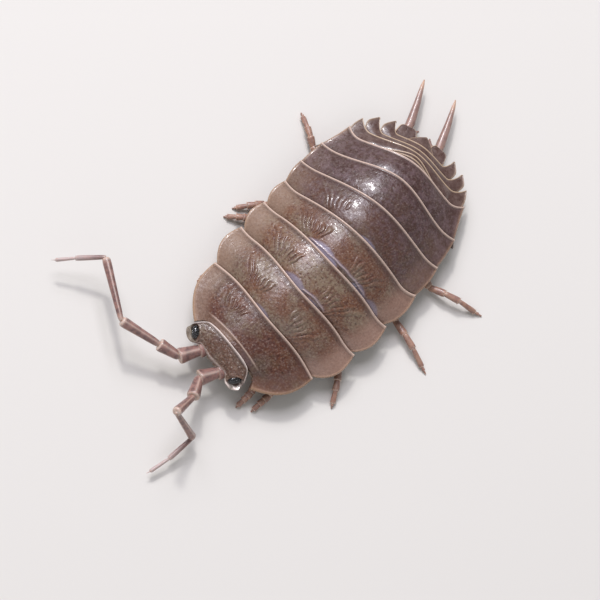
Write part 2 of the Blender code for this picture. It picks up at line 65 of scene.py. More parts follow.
# A number or an array of them, a place (v, u, z), and a place on a limb with its radius there
Values = float | np.ndarray
Spot = tuple[float, float, float]
Joint = tuple[Spot, float]

# Middle of the footprint, in the body's own frame
ORIGIN_X = -1.64
ORIGIN_Y = -2.58
# The mid line seen from above
SPINE_X = -0.05
BOW_SLOPE = math.tan(math.radians(8.5))
BOW_LENGTH = 4.2
BOW_MIDDLE = 0.9
# How an arch across the back and a rear edge run
ARCH_SHARE = 0.6
FLANK = 0.76
CROWN = 0.06


class Side(Enum):
    """The animal's two sides, by the sign of v."""

    LEFT = 1
    RIGHT = -1

    @property
    def word(self) -> str:
        """The side's name as the nodes spell it."""
        return self.name.lower()


# Curves and patterns


def smooth(t: Values) -> Values:
    """A step from 0 to 1 with level ends."""
    t = np.clip(t, 0.0, 1.0)
    return t * t * (3 - 2 * t)


def ramp(t: Values, start: Values, run: Values) -> Values:
    """A smooth step that starts at start and ends a run further on, or before it if the run is negative."""
    return smooth((t - start) / run)


def mix(a: Values, b: Values, t: Values) -> Values:
    """The value at the share t between a and b."""
    return a + (b - a) * t


def hill(t: Values, width: float) -> Values:
    """A round hill of height 1 at t = 0."""
    return np.exp(-((t / width) ** 2))


def arch(s: Values) -> Values:
    """Share of the height at s across: round over the back, flatter towards the side edge."""
    return mix(0.5 * (1 + np.cos(np.pi * s)), 1 - s * s, ARCH_SHARE)


def scatter(i: Values, j: Values, seed: float) -> Values:
    """A repeatable random number from 0 to 1 for each pair of whole numbers."""
    h = np.sin(i * 127.1 + j * 311.7 + seed * 74.7) * 43758.5453
    return h - np.floor(h)


@dataclass(frozen=True)
class Ridge:
    """A round ridge, line or groove: its height, how far from an edge it lies and its width."""

    height: float
    at: float
    width: float

    def over(self, far: Values) -> Values:
        """Its height at a distance from the edge."""
        return self.height * hill(far - self.at, self.width)


@dataclass(frozen=True)
class Rim:
    """A bead along an edge, and how deep and wide the edge outside it is rounded off."""

    bead: Ridge
    depth: float
    width: float

    def over(self, far: Values) -> Values:
        """The height that it adds at a distance inside the edge."""
        return self.bead.over(far) - self.depth * np.clip(1 - far / self.width, 0, 1) ** 2


@dataclass(frozen=True)
class Lumps:
    """Soft noise: how far it rises and falls, the width of a lump and which pattern it is."""

    height: float
    cell: float
    seed: float = 0.0

    def over(self, x: Values, y: Values, shift: float = 0.0) -> Values:
        """The noise at each place.

        Args:
            x: across.
            y: along.
            shift: added to the seed.

        Returns:
            Height between minus and plus its own.
        """
        seed = self.seed + shift
        i, j = np.floor(x / self.cell), np.floor(y / self.cell)
        fx, fy = smooth(x / self.cell - i), smooth(y / self.cell - j)
        near = mix(scatter(i, j, seed), scatter(i + 1, j, seed), fx)
        far = mix(scatter(i, j + 1, seed), scatter(i + 1, j + 1, seed), fx)
        return self.height * (2 * mix(near, far, fy) - 1)


@dataclass(frozen=True)
class Grains:
    """Small round grains, one at a jittered place in each cell, up to a radius."""

    cell: float
    radius: float
    seed: float
    jitter: float = 0.8
    smallest: float = 0.45

    def over(self, x: np.ndarray, y: np.ndarray, shift: float = 0.0) -> np.ndarray:
        """The grains at each place.

        Args:
            x: across.
            y: along.
            shift: added to the seed.

        Returns:
            Height from 0 to 1.
        """
        seed, cell = self.seed + shift, self.cell
        i, j = np.floor(x / cell), np.floor(y / cell)
        height = np.zeros_like(x)
        for a in (i - 1, i, i + 1):
            for b in (j - 1, j, j + 1):
                cx = (a + 0.5 + self.jitter * (scatter(a, b, seed) - 0.5)) * cell
                cy = (b + 0.5 + self.jitter * (scatter(a, b, seed + 1) - 0.5)) * cell
                size = self.radius * mix(self.smallest, 1.0, scatter(a, b, seed + 2))
                reach = ((x - cx) ** 2 + (y - cy) ** 2) / size ** 2
                height = np.maximum(height, np.clip(1 - reach, 0, 1) ** 1.5 * size / self.radius)
        return height


# Places


def place(v: Values, u: Values, z: Values) -> np.ndarray:
    """Points in metres of places on the body.

    Args:
        v: across.
        u: back along the body.
        z: height.

    Returns:
        An array whose last axis is x, y, z.
    """
    swing = (u - BOW_MIDDLE) / BOW_LENGTH
    slope = -BOW_SLOPE * np.tanh(swing)
    norm = np.hypot(1.0, slope)
    x = SPINE_X - BOW_SLOPE * BOW_LENGTH * np.log(np.cosh(swing)) + v / norm - ORIGIN_X
    y = u - v * slope / norm - ORIGIN_Y
    return np.stack(np.broadcast_arrays(x, y, z), axis=-1) * MM


def point(spot: Spot) -> Vector:
    """One place on the body as a vector in metres."""
    return Vector(place(*(float(value) for value in spot)).tolist())


def between(a: tuple, b: tuple, t: float) -> tuple:
    """The place at the share t between the places a and b."""
    return tuple(mix(p, q, t) for p, q in zip(a, b))


@dataclass(frozen=True)
class Margin:
    """The rear edge of a plate: how far back it lies, half width, heights and lean to the left."""

    middle: float
    flank: float
    end: float
    half: float
    crest: float
    rim: float
    shift: float = 0.0

    def back(self, v: Values) -> Values:
        """How far back the edge lies.

        Args:
            v: across.

        Returns:
            Its u there.
        """
        share = np.clip(np.abs(v - self.shift) / self.half, 0.0, 1.0)
        inner = mix(self.middle, self.flank, smooth(share / FLANK))
        outer = mix(self.flank, self.end, ((share - FLANK) / (1 - FLANK)) ** 2)
        return np.where(share < FLANK, inner, outer)

    def at(self, s: Values, half: float) -> Values:
        """How far back the edge lies at the share s of a half width."""
        return self.back(s * half + self.shift)

    def height(self, v: Values) -> Values:
        """Height of the edge at v."""
        share = np.clip((v - self.shift) / self.half, -1.0, 1.0)
        return mix(self.rim, self.crest, arch(share))


# The head's rear edge with the collar, then the rear edge of each plate of the trunk
NECK = Margin(-8.98, -8.94, -9.48, 2.62, 2.82, 1.60, 0.20)
EDGES = [
    Margin(-8.58, -8.60, -9.48, 2.62, 2.82, 1.60, 0.20),
    Margin(-6.38, -6.02, -6.07, 4.56, 3.30, 1.50, 0.14),
    Margin(-3.90, -3.42, -3.23, 5.15, 3.85, 1.50, 0.07),
    Margin(-1.42, -1.04, -0.82, 5.26, 4.20, 1.50),
    Margin(1.04, 1.14, 1.55, 5.26, 4.30, 1.50),
    Margin(3.35, 3.28, 3.50, 5.28, 4.25, 1.50, -0.04),
    Margin(5.63, 5.18, 5.42, 5.02, 3.95, 1.48, 0.07),
    Margin(7.15, 6.90, 7.45, 4.30, 3.35, 1.42, 0.15),
]
# Half width of each trunk plate at its front, how fast it widens and how far its side bulges
FRONT_HALVES = [2.62, 4.36, 4.80, 5.00, 5.24, 5.24, 4.98]
ROUNDINGS = [3.0, 4.0, 4.0, 4.0, 2.2, 1.6, 1.6]
BULGES = [0.0, 0.24, 0.26, 0.22, 0.10, 0.07, 0.06]

# The same for the short plates of the rear body
REAR_EDGES = [
    Margin(7.42, 6.98, 6.72, 2.90, 3.14, 2.33, 0.15),
    Margin(7.72, 7.02, 6.72, 3.10, 2.92, 2.22, 0.15),
    Margin(8.05, 7.70, 8.38, 3.86, 2.62, 1.35, 0.12),
    Margin(8.42, 8.20, 9.10, 3.08, 2.28, 1.28, 0.18),
    Margin(8.86, 8.76, 9.52, 2.18, 1.95, 1.22, 0.23),
]
REAR_FRONT_HALVES = [2.80, 2.95, 3.92, 3.24, 2.46]
REAR_BULGES = [0.0, 0.0, 0.30, 0.40, 0.36]


# Finishes

# Sockets of a colour mix by number, because its kinds of mix share their names
MIX_SHARE, MIX_UNDER, MIX_OVER, MIX_RESULT = 0, 6, 7, 2
BUMP_STRENGTH = 0.8


def linear(code: str) -> tuple[float, ...]:
    """An sRGB hex colour as linear red, green, blue and a full alpha."""
    parts = [int(code[i:i + 2], 16) / 255 for i in (1, 3, 5)]
    return tuple(c / 12.92 if c <= 0.04045 else ((c + 0.055) / 1.055) ** 2.4 for c in parts) + (1.0,)


@dataclass(frozen=True)
class Pattern:
    """Soft noise in a finish: width of its lumps in millimetres, detail and roughness."""

    size: float
    detail: float = 2.0
    roughness: float = 0.5


@dataclass(frozen=True)
class Layer:
    """A colour over those before it, where it is painted and where a pattern goes from low to high.

    With no paint it lies everywhere, and with no pattern it follows its paint alone.
    """

    tint: str
    painted: str = ""
    pattern: str = ""
    low: float = 0.0
    high: float = 1.0
    strength: float = 1.0


class Surface:
    """A new material with its shader and its patterns on the piece's own coordinates."""

    def __init__(self, name: str, patterns: dict[str, Pattern] | None = None) -> None:
        """Start the material.

        Args:
            name: its name.
            patterns: each pattern by its name.
        """
        self.material = bpy.data.materials.new(name)
        self.material.use_nodes = True
        self.tree = self.material.node_tree
        self.shader = self.tree.nodes["Principled BSDF"]
        self.noises = {}
        spot = self.add("ShaderNodeTexCoord").outputs["Object"]
        for key, pattern in (patterns or {}).items():
            settings = {"Scale": 1 / (pattern.size * MM), "Detail": pattern.detail,
                        "Roughness": pattern.roughness}
            self.noises[key] = self.add("ShaderNodeTexNoise", settings, {"Vector": spot}).outputs["Fac"]

    def add(self, kind: str, settings: dict | None = None, links: dict | None = None) -> Node:
        """Add a node with its settings and links.

        Args:
            kind: the node's type.
            settings: value of each property or unlinked socket.
            links: output socket that feeds each input socket.

        Returns:
            The node.
        """
        node = self.tree.nodes.new(kind)
        for key, value in (settings or {}).items():
            if isinstance(key, str) and hasattr(node, key):
                setattr(node, key, value)
            else:
                node.inputs[key].default_value = value
        for key, source in (links or {}).items():
            self.tree.links.new(source, node.inputs[key])
        return node

    def lay(self, base: str, layers: list[Layer]) -> None:
        """Lay the colours one over the other.

        Args:
            base: the colour below them all.
            layers: the colours over it, the topmost last.
        """
        under, below = {MIX_UNDER: linear(base)}, {}
        for layer in layers:
            sources = [self.noises[layer.pattern]] if layer.pattern else []
            if layer.painted:
                shares = self.add("ShaderNodeAttribute", {"attribute_name": layer.painted})
                sources.append(shares.outputs["Fac"])
            limits = {"From Min": layer.low, "From Max": layer.high, "To Max": layer.strength}
            share = self.add("ShaderNodeMapRange", limits, {"Value": sources[0]}).outputs[0]
            if len(sources) > 1:
                both = {0: share, 1: sources[1]}
                share = self.add("ShaderNodeMath", {"operation": "MULTIPLY"}, both).outputs[0]
            over = {"data_type": "RGBA", MIX_OVER: linear(layer.tint)}
            colour = self.add("ShaderNodeMix", over | under, {MIX_SHARE: share} | below).outputs[MIX_RESULT]
            under, below = {}, {MIX_UNDER: colour}
        self.tree.links.new(colour, self.shader.inputs["Base Color"])

    def emboss(self, heights: dict[str, float]) -> None:
        """Raise patterns as fine bumps, one over the other.

        Args:
            heights: height in millimetres of each pattern.
        """
        below = {}
        for key, height in heights.items():
            settings = {"Strength": BUMP_STRENGTH, "Distance": height * MM}
            bumps = self.add("ShaderNodeBump", settings, {"Height": self.noises[key]} | below)
            below = {"Normal": bumps.outputs[0]}
        self.tree.links.new(bumps.outputs[0], self.shader.inputs["Normal"])

    def polish(self, values: dict[str, float | tuple]) -> Material:
        """Put constant numbers on the shader's sockets.

        Args:
            values: number or colour of each socket.

        Returns:
            The material, which this finishes.
        """
        for socket, value in values.items():
            self.shader.inputs[socket].default_value = value
        return self.material


# Grit, dents and flecks of a living shell are a few hundredths of a millimetre wide. They are
# drawn two to four times coarser here, because otherwise they wouldn't show in the render.
SHELL_PATTERNS = {
    "broad": Pattern(1.6, 3.0),
    "blotch": Pattern(0.45, 5.0, 0.65),
    "spots": Pattern(0.17, 4.0, 0.6),
    "flecks": Pattern(0.12, 3.0, 0.7),
    "dents": Pattern(0.20, 3.0),
    "grit": Pattern(0.13),
    "fine": Pattern(0.09, 3.0, 0.6),
}
# The same holds for the fine grain of the limbs
LIMB_PATTERNS = {"blotch": Pattern(0.35, 4.0, 0.6), "fine": Pattern(0.07)}
SKIN_PATTERNS = {"blotch": Pattern(0.5, 3.0)}


@dataclass(frozen=True)
class ShellFinish:
    """Chalky cuticle, tanned, and grown under a thin skin of wax.

    It looks satin-wet, finely pitted and paler at its edges, and goes from warm brown with olive
    clouds to dusky purple-brown. Its dents break up the lights that its wax reflects.
    """

    name: str
    warm: str = "#704A33"
    olive: str = "#7B6753"
    dusk: str = "#402622"
    slate: str = "#5C4648"
    mottle: str = "#52291F"
    mottle_strength: float = 0.7
    left_flank: str = "#957566"
    right_flank: str = "#896F5E"
    fleck: str = "#B5A699"
    fleck_strength: float = 0.22
    # Dark grit and pits, and the painted shade
    dot_and_shade: str = "#1F1411"
    # Lilac of the smooth lenses, partly their own colour and partly a painted sheen
    wet: str = "#8E879B"
    # Pale rims and specks, and the painted highlights on ridges, on the head's border and round the lobes
    margin: str = "#CBB1A1"
    side: str = "#BC987A"
    grit_strength: float = 0.20
    roughness: float = 0.36
    smoothest: float = -0.14
    roughest: float = 0.18
    wet_gloss: float = -0.2
    coat: float = 0.30
    coat_roughness: float = 0.12
    ior: float = 1.48
    grain_height: float = 0.014
    dent_height: float = 0.024

    def layers(self) -> list[Layer]:
        """The colours over the warm brown.

        Returns:
            Their layers, from the broad clouds up to the pale edges, which carry painted highlights, and
            the painted shade.
        """
        return [
            Layer(self.olive, "", "broad", 0.44, 0.60),
            Layer(self.dusk, "dusk"),
            Layer(self.slate, "dusk", "blotch", 0.56, 0.40),
            Layer(self.mottle, "fresh", "spots", 0.50, 0.60, self.mottle_strength),
            Layer(self.left_flank, "left_flank"),
            Layer(self.right_flank, "right_flank"),
            Layer(self.dot_and_shade, "", "grit", 0.52, 0.70, self.grit_strength),
            Layer(self.fleck, "", "grit", 0.46, 0.30, 0.6 * self.grit_strength),
            Layer(self.fleck, "fresh", "flecks", 0.58, 0.68, self.fleck_strength),
            Layer(self.fleck, "grain", strength=0.30),
            Layer(self.dusk, "band"),
            Layer(self.dot_and_shade, "pit"),
            Layer(self.mottle, "scar"),
            # The lenses' tint is partly a painted sheen, the pale edges carry painted highlights, and the
            # last layer is painted shade
            Layer(self.wet, "facet"),
            Layer(self.side, "side"),
            Layer(self.margin, "margin"),
            Layer(self.dot_and_shade, "shade"),
        ]

    def build(self) -> Material:
        """Make the material.

        Returns:
            The material.
        """
        surface = Surface(self.name, SHELL_PATTERNS)
        surface.lay(self.warm, self.layers())
        facet = surface.add("ShaderNodeAttribute", {"attribute_name": "facet"}).outputs["Fac"]
        limits = {"From Min": 0.35, "From Max": 0.62, "To Min": self.roughness + self.smoothest,
                  "To Max": self.roughness + self.roughest}
        uneven = surface.add("ShaderNodeMapRange", limits, {"Value": surface.noises["dents"]}).outputs[0]
        wetter = {"operation": "MULTIPLY_ADD", 1: self.wet_gloss}
        rough = surface.add("ShaderNodeMath", wetter, {0: facet, 2: uneven}).outputs[0]
        surface.tree.links.new(rough, surface.shader.inputs["Roughness"])
        surface.emboss({"fine": self.grain_height, "dents": self.dent_height})
        return surface.polish({
            "IOR": self.ior, "Coat Weight": self.coat, "Coat Roughness": self.coat_roughness})


@dataclass(frozen=True)
class LimbFinish:
    """Thin cuticle of the limbs, grown soft over pale flesh.

    It looks lilac-brown and lightly see-through, with pale joints and a wet gloss.
    """

    name: str
    shaft: str
    deep: str
    pale: str
    tip: str = "#C08E62"
    roughness: float = 0.42
    depth: float = 0.12
    bump: float = 0.016

    def build(self) -> Material:
        """Make the material.

        Returns:
            The material.
        """
        surface = Surface(self.name, LIMB_PATTERNS)
        surface.lay(self.shaft, [
            Layer(self.deep, "", "blotch", 0.42, 0.62),
            Layer(self.pale, "joint"),
            Layer(self.tip, "tip"),
        ])
        surface.emboss({"fine": self.bump})
        return surface.polish({
            "Roughness": self.roughness, "IOR": 1.50, "Coat Weight": 0.3, "Coat Roughness": 0.14,
            "Subsurface Weight": 0.25, "Subsurface Radius": (1.0, 0.45, 0.3),
            "Subsurface Scale": self.depth * MM,
        })


@dataclass(frozen=True)
class SkinFinish:
    """Soft skin that was never tanned: one pale colour with faint clouds, moist and lightly see-through."""

    name: str
    colour: str
    cloud: str
    roughness: float = 0.45
    depth: float = 0.15

    def build(self) -> Material:
        """Make the material.

        Returns:
            The material.
        """
        surface = Surface(self.name, SKIN_PATTERNS)
        surface.lay(self.colour, [Layer(self.cloud, "", "blotch")])
        return surface.polish({
            "Roughness": self.roughness, "Subsurface Weight": 0.2, "Subsurface Radius": (1.0, 0.5, 0.35),
            "Subsurface Scale": self.depth * MM,
        })


@dataclass(frozen=True)
class EyeFinish:
    """Black lenses grown under clear cuticle: as glossy as wet glass, with hard small lights."""

    name: str
    colour: str = "#0B090A"
    roughness: float = 0.10

    def build(self) -> Material:
        """Make the material."""
        clear = {"IOR": 1.55, "Coat Weight": 0.6, "Coat Roughness": 0.04, "Roughness": self.roughness}
        return Surface(self.name).polish(clear | {"Base Color": linear(self.colour)})


@dataclass(frozen=True)
class CardFinish:
    """Uncoated off-white card, calendered: matt and even, so that nothing competes with the animal."""

    name: str = "studio_card"
    colour: str = "#D6D2CB"
    roughness: float = 0.9

    def build(self) -> Material:
        """Make the material."""
        return Surface(self.name).polish({"Base Color": linear(self.colour), "Roughness": self.roughness})


# Workbench


def put_down() -> None:
    """Select nothing and leave edit mode."""
    if bpy.context.object and bpy.context.object.mode != "OBJECT":
        bpy.ops.object.mode_set(mode="OBJECT")
    bpy.ops.object.select_all(action="DESELECT")


def take(item: Object) -> None:
    """Select one object alone and make it active.

    Args:
        item: the object.
    """
    put_down()
    item.select_set(True)
    bpy.context.view_layer.objects.active = item


@contextmanager
def editing() -> Iterator[None]:
    """Edit mode on the active object, with all of it selected.

    Returns:
        The context, which leaves edit mode at its end.
    """
    bpy.ops.object.mode_set(mode="EDIT")
    bpy.ops.mesh.select_all(action="SELECT")
    yield
    bpy.ops.object.mode_set(mode="OBJECT")


def face_out() -> None:
    """Turn every face of the object that is being edited outwards."""
    bpy.ops.mesh.select_all(action="SELECT")
    bpy.ops.mesh.normals_make_consistent(inside=False)


def shape_up(item: Object, kind: str, **settings: object) -> None:
    """Add a modifier and apply it.

    Args:
        item: the object.
        kind: the modifier's type.
        **settings: its properties.
    """
    take(item)
    modifier = item.modifiers.new(kind.lower(), kind)
    for key, value in settings.items():
        setattr(modifier, key, value)
    bpy.ops.object.modifier_apply(modifier=modifier.name)


def named(name: str) -> Object:
    """Name the object just made and its mesh.

    Args:
        name: the name.

    Returns:
        The object.
    """
    item = bpy.context.object
    item.name = item.data.name = name
    return item


def corners(item: Object) -> np.ndarray:
    """The places of a mesh's points.

    Args:
        item: the object.

    Returns:
        One row each.
    """
    values = np.empty(len(item.data.vertices) * 3)
    item.data.vertices.foreach_get("co", values)
    return values.reshape(-1, 3)


def move_corners(item: Object, points: np.ndarray) -> None:
    """Put the mesh's points at these places."""
    item.data.vertices.foreach_set("co", np.ascontiguousarray(points, dtype=float).ravel())
    item.data.update()


def paint(item: Object, **shares: Values) -> None:
    """Keep shares from 0 to 1 for each point, which the finish reads by their names.

    Args:
        item: the object.
        **shares: the values of each share.
    """
    for name, values in shares.items():
        layer = item.data.attributes.get(name) or item.data.attributes.new(name, "FLOAT", "POINT")
        even = np.clip(np.broadcast_to(values, len(item.data.vertices)), 0, 1).astype(np.float32)
        layer.data.foreach_set("value", even)


def tone(item: Object, dusk: Values, back: Values = 1.0) -> None:
    """Paint how dusky a piece is, and how fresh it stays: mottles and flecks fade in the dusk.

    Args:
        item: the object.
        dusk: share of the dusky colour.
        back: share of the back, where the mottles and flecks lie.
    """
    fade = 1.15
    paint(item, dusk=dusk, fresh=back * (1 - np.clip(dusk, 0, 1) / fade))


def dress(item: Object, *materials: Material) -> None:
    """Give the piece its materials and smooth shading.

    Args:
        item: the piece.
        *materials: the materials in the order of its slots.
    """
    item.data.materials.clear()
    for material in materials:
        item.data.materials.append(material)
    item.data.shade_smooth()


def hang(item: Object, slot: str, *nodes: str) -> None:
    """Let a finished piece ride with the animal and stand for its solids.

    Args:
        item: the piece.
        slot: the record's material slot; not used.
        *nodes: the solids that it replaces.
    """
    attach(item, BODY)
    if nodes:
        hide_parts(*nodes)
    item.data.calc_loop_triangles()
    LOG.info("%s: %d triangles", item.name, len(item.data.loop_triangles))


def join(name: str, items: list[Object]) -> Object:
    """Make one piece of several.

    Args:
        name: its name.
        items: the parts.

    Returns:
        The piece.
    """
    put_down()
    for item in items:
        item.select_set(True)
    bpy.context.view_layer.objects.active = items[0]
    bpy.ops.object.join()
    return named(name)


def copy_at(master: Object, pose: Matrix) -> Object:
    """Copy a master with its own mesh and take the pose into the mesh.

    Args:
        master: what to copy.
        pose: where it goes.

    Returns:
        The copy.
    """
    mesh = master.data.copy()
    mesh.transform(pose)
    twin = bpy.data.objects.new(master.name, mesh)
    bpy.context.scene.collection.objects.link(twin)
    return twin


def discard(item: Object) -> None:
    """Remove a master that has done its work.

    Args:
        item: the master.
    """
    mesh = item.data
    bpy.data.objects.remove(item)
    bpy.data.meshes.remove(mesh)


def sheet(name: str, columns: int, rows: int) -> Object:
    """A flat grid from -1 to 1 both ways.

    Args:
        name: its name.
        columns: cells across.
        rows: cells along.

    Returns:
        The grid.
    """
    put_down()
    bpy.ops.mesh.primitive_grid_add(x_subdivisions=columns, y_subdivisions=rows, size=2)
    return named(name)


def ball(name: str, segments: int, rings: int) -> Object:
    """A ball of radius 1 to be shaped.

    Args:
        name: its name.
        segments: its meridians.
        rings: its circles.

    Returns:
        The ball.
    """
    put_down()
    bpy.ops.mesh.primitive_uv_sphere_add(segments=segments, ring_count=rings, radius=1.0)
    return named(name)


def thicken(item: Object, thickness: float) -> None:
    """Give a sheet its thickness below, with the second material underneath."""
    shape_up(item, "SOLIDIFY", thickness=thickness * MM, offset=-1.0, material_offset=1,
             use_even_offset=False, use_quality_normals=True)


def aim_along(start: Vector, stop: Vector, wide: float, high: float) -> Matrix:
    """The pose that lays a unit article, which points up z, from one point to another.

    Args:
        start: where it begins, in metres.
        stop: where it ends.
        wide: half width in millimetres.
        high: half height in millimetres.

    Returns:
        The matrix.
    """
    upright = 0.05
    axis = stop - start
    length = axis.length
    axis.normalize()
    side = axis.cross(Vector((0, 0, 1)))
    side = side.normalized() if side.length > upright else Vector((1, 0, 0))
    turn = Matrix((side, side.cross(axis), axis)).transposed().to_4x4()
    return Matrix.Translation(start) @ turn @ Matrix.Diagonal((wide * MM, high * MM, length, 1.0))


def round_copy(master: Object, start: Vector, stop: Vector, half: float) -> Object:
    """A copy of a master from one point to another, with this half width in millimetres both ways."""
    return copy_at(master, aim_along(start, stop, half, half))


# Shell


@dataclass(frozen=True)
class Ground:
    """The points of a plate: shares across and along, places, and distances from its edges."""

    s: np.ndarray
    r: np.ndarray
    v: np.ndarray
    u: np.ndarray
    behind: np.ndarray
    before: np.ndarray
    inside: np.ndarray

    @property
    def along(self) -> np.ndarray:
        """Share of the length, held between 0 and 1."""
        return np.clip(self.r, 0, 1)

    @property
    def back(self) -> np.ndarray:
        """How much of the back, and not of a flank, is at each point."""
        return 1 - ramp(np.abs(self.s), 0.66, 0.22)

    def tucked(self, reach: float) -> np.ndarray:
        """A share that fades behind the plate before, within a reach."""
        return np.exp(-np.maximum(self.behind, 0) / reach)


class Plate(ABC):
    """A thin plate of the shell: a shaped grid, painted, dressed and given its thickness."""

    columns: int
    rows: int
    thickness: float

    @property
    @abstractmethod
    def names(self) -> tuple[str, str, str]:
        """The piece's name, its slot in the record and the solid that it stands for."""

    @abstractmethod
    def lay_out(self, s: np.ndarray, t: np.ndarray) -> Ground:
        """Where the grid's points lie, seen from above.

        Args:
            s: place across the grid, from -1 to 1.
            t: place along it, from 0 to 1.

        Returns:
            The points.
        """

    @abstractmethod
    def height(self, on: Ground) -> np.ndarray:
        """Height of the plate's outside at each point."""

    @abstractmethod
    def mark(self, item: Object, on: Ground) -> None:
        """Paint where each colour of the plate lies."""

    def build(self, top: Material, under: Material) -> None:
        """Make the plate.

        Args:
            top: finish of its outside.
            under: finish of its inside.
        """
        name, slot, node = self.names
        item = sheet(name, self.columns, self.rows)
        grid = corners(item)
        on = self.lay_out(grid[:, 0], (grid[:, 1] + 1) / 2)
        move_corners(item, place(on.v, on.u, self.height(on)))
        self.mark(item, on)
        dress(item, top, under)
        thicken(item, self.thickness)
        hang(item, slot, node)


def crowd_sides(s: np.ndarray, much: float) -> np.ndarray:
    """Shares from -1 to 1 drawn together at both ends, so that the rims get more points."""
    return (1 + much) * s - much * s ** 3


def crowd_ends(t: np.ndarray, much: float) -> np.ndarray:
    """Shares from 0 to 1 drawn together at both ends."""
    return t - much * np.sin(2 * np.pi * t) / (2 * np.pi)


@dataclass(frozen=True)
class Facet:
    """Wet, smooth lenses of lilac skin just behind the plate before, with a fine ridge along them. Their
    lilac is partly a painted sheen.

    Each lens is (start, stop, width, strength), all along v.
    """

    lenses: tuple[tuple[float, float, float, float], ...]
    ridge: tuple[float, float] | None = None

    def share(self, on: Ground) -> np.ndarray:
        """How much a place is in a lens.

        Args:
            on: the plate's points.

        Returns:
            A share from 0 to 1.
        """
        most = np.zeros_like(on.v)
        for start, stop, width, strength in self.lenses:
            way = np.clip((on.v - start) / (stop - start), 0, 1)
            reach = width * np.sin(np.pi * way) ** 0.8
            inside = ramp(on.behind, reach, -(0.30 * width + 0.04)) * ramp(on.behind, -0.05, 0.04)
            most = np.maximum(most, strength * inside * (reach > 0.02))
        return most

    def way(self, v: np.ndarray) -> np.ndarray:
        """Share of the ridge's length at v."""
        start, stop = self.ridge
        return np.clip((v - start) / (stop - start), 0, 1)

    def fold(self, on: Ground, forward: float = 0.0, width: float = 0.034) -> np.ndarray:
        """The sharp ridge: inside the first lens, then along the narrow lenses to their end.

        Args:
            on: the plate's points.
            forward: how far it is moved towards the head.
            width: its width.

        Returns:
            A share from 0 to 1.
        """
        if not self.ridge:
            return np.zeros_like(on.v)
        way = self.way(on.v)
        path = 0.07 + 0.20 * np.sin(np.pi * way) ** 0.7 + 0.015 * np.sin(7 * on.v)
        uneven = 0.8 + 0.2 * np.sin(3.1 * on.v)
        return hill(on.behind + forward - path, width) * ramp(way, 0, 0.08) * ramp(way, 1, -0.2) * uneven

    def ditch(self, on: Ground) -> np.ndarray:
        """The broken groove between the plate before and the ridge, past the first lens, darkened with
        painted shade.

        Args:
            on: the plate's points.

        Returns:
            A share from 0 to 1.
        """
        if not self.ridge:
            return np.zeros_like(on.v)
        start, stop = self.lenses[0][1], self.lenses[1][0] + 0.15
        inside = ramp(on.behind, 0.05 + 0.15 * np.sin(np.pi * self.way(on.v)), -0.05)
        broken = 0.75 + 0.25 * np.sin(9 * on.v)
        return inside * ramp(on.v, start - 0.3, 0.3) * ramp(on.v, stop, -0.3) * broken


@dataclass(frozen=True)
class Scar:
    """A comb of short ridges where a muscle is anchored inside, on both sides.

    The ridges stand side by side from the inner edge v outwards around the line u. The inner
    ones point back and a little inwards, the outer ones back and outwards.
    """

    v: float
    u: float
    strength: float
    ridges: int = 6
    pitch: float = 0.30
    long: float = 0.42
    fan: float = 0.62
    lean: float = -0.25
    left: float = 0.45

    def wave(self, on: Ground) -> np.ndarray:
        """The comb, fading outwards and fainter on the left.

        Args:
            on: the plate's points.

        Returns:
            From -1 in a groove to 1 on a ridge.
        """
        back = on.u - self.u
        out = (np.abs(on.v) - self.v - self.lean * back) / (1 + self.fan * np.clip(back, -0.9, 0.9))
        bent = 0.035 * np.sin(7.5 * back + 4.0 * out + self.u) + Lumps(0.03, 0.35, self.u).over(on.v, on.u)
        turn = (out + bent) / self.pitch
        row = np.floor(turn)
        aside = np.minimum(turn - row, 1 - (turn - row))
        outer = ramp(turn, self.ridges - 2.2, 1.0)
        long = self.long * mix(0.7, 1.3, scatter(row, self.u, 3)) * (1 + 0.7 * outer)
        shift = 0.12 * (scatter(row, self.u, 5) - 0.5)
        ends = np.exp(-(np.abs(back - shift) / long) ** 4)
        inside = ramp(turn, -0.2, 0.3) * ramp(turn, self.ridges + 0.2, -0.3)
        ridge = 2 * ramp(aside, 0, 0.30) - 1
        return ridge * ends * inside * self.strength * np.where(on.v > 0, self.left, 1.0)


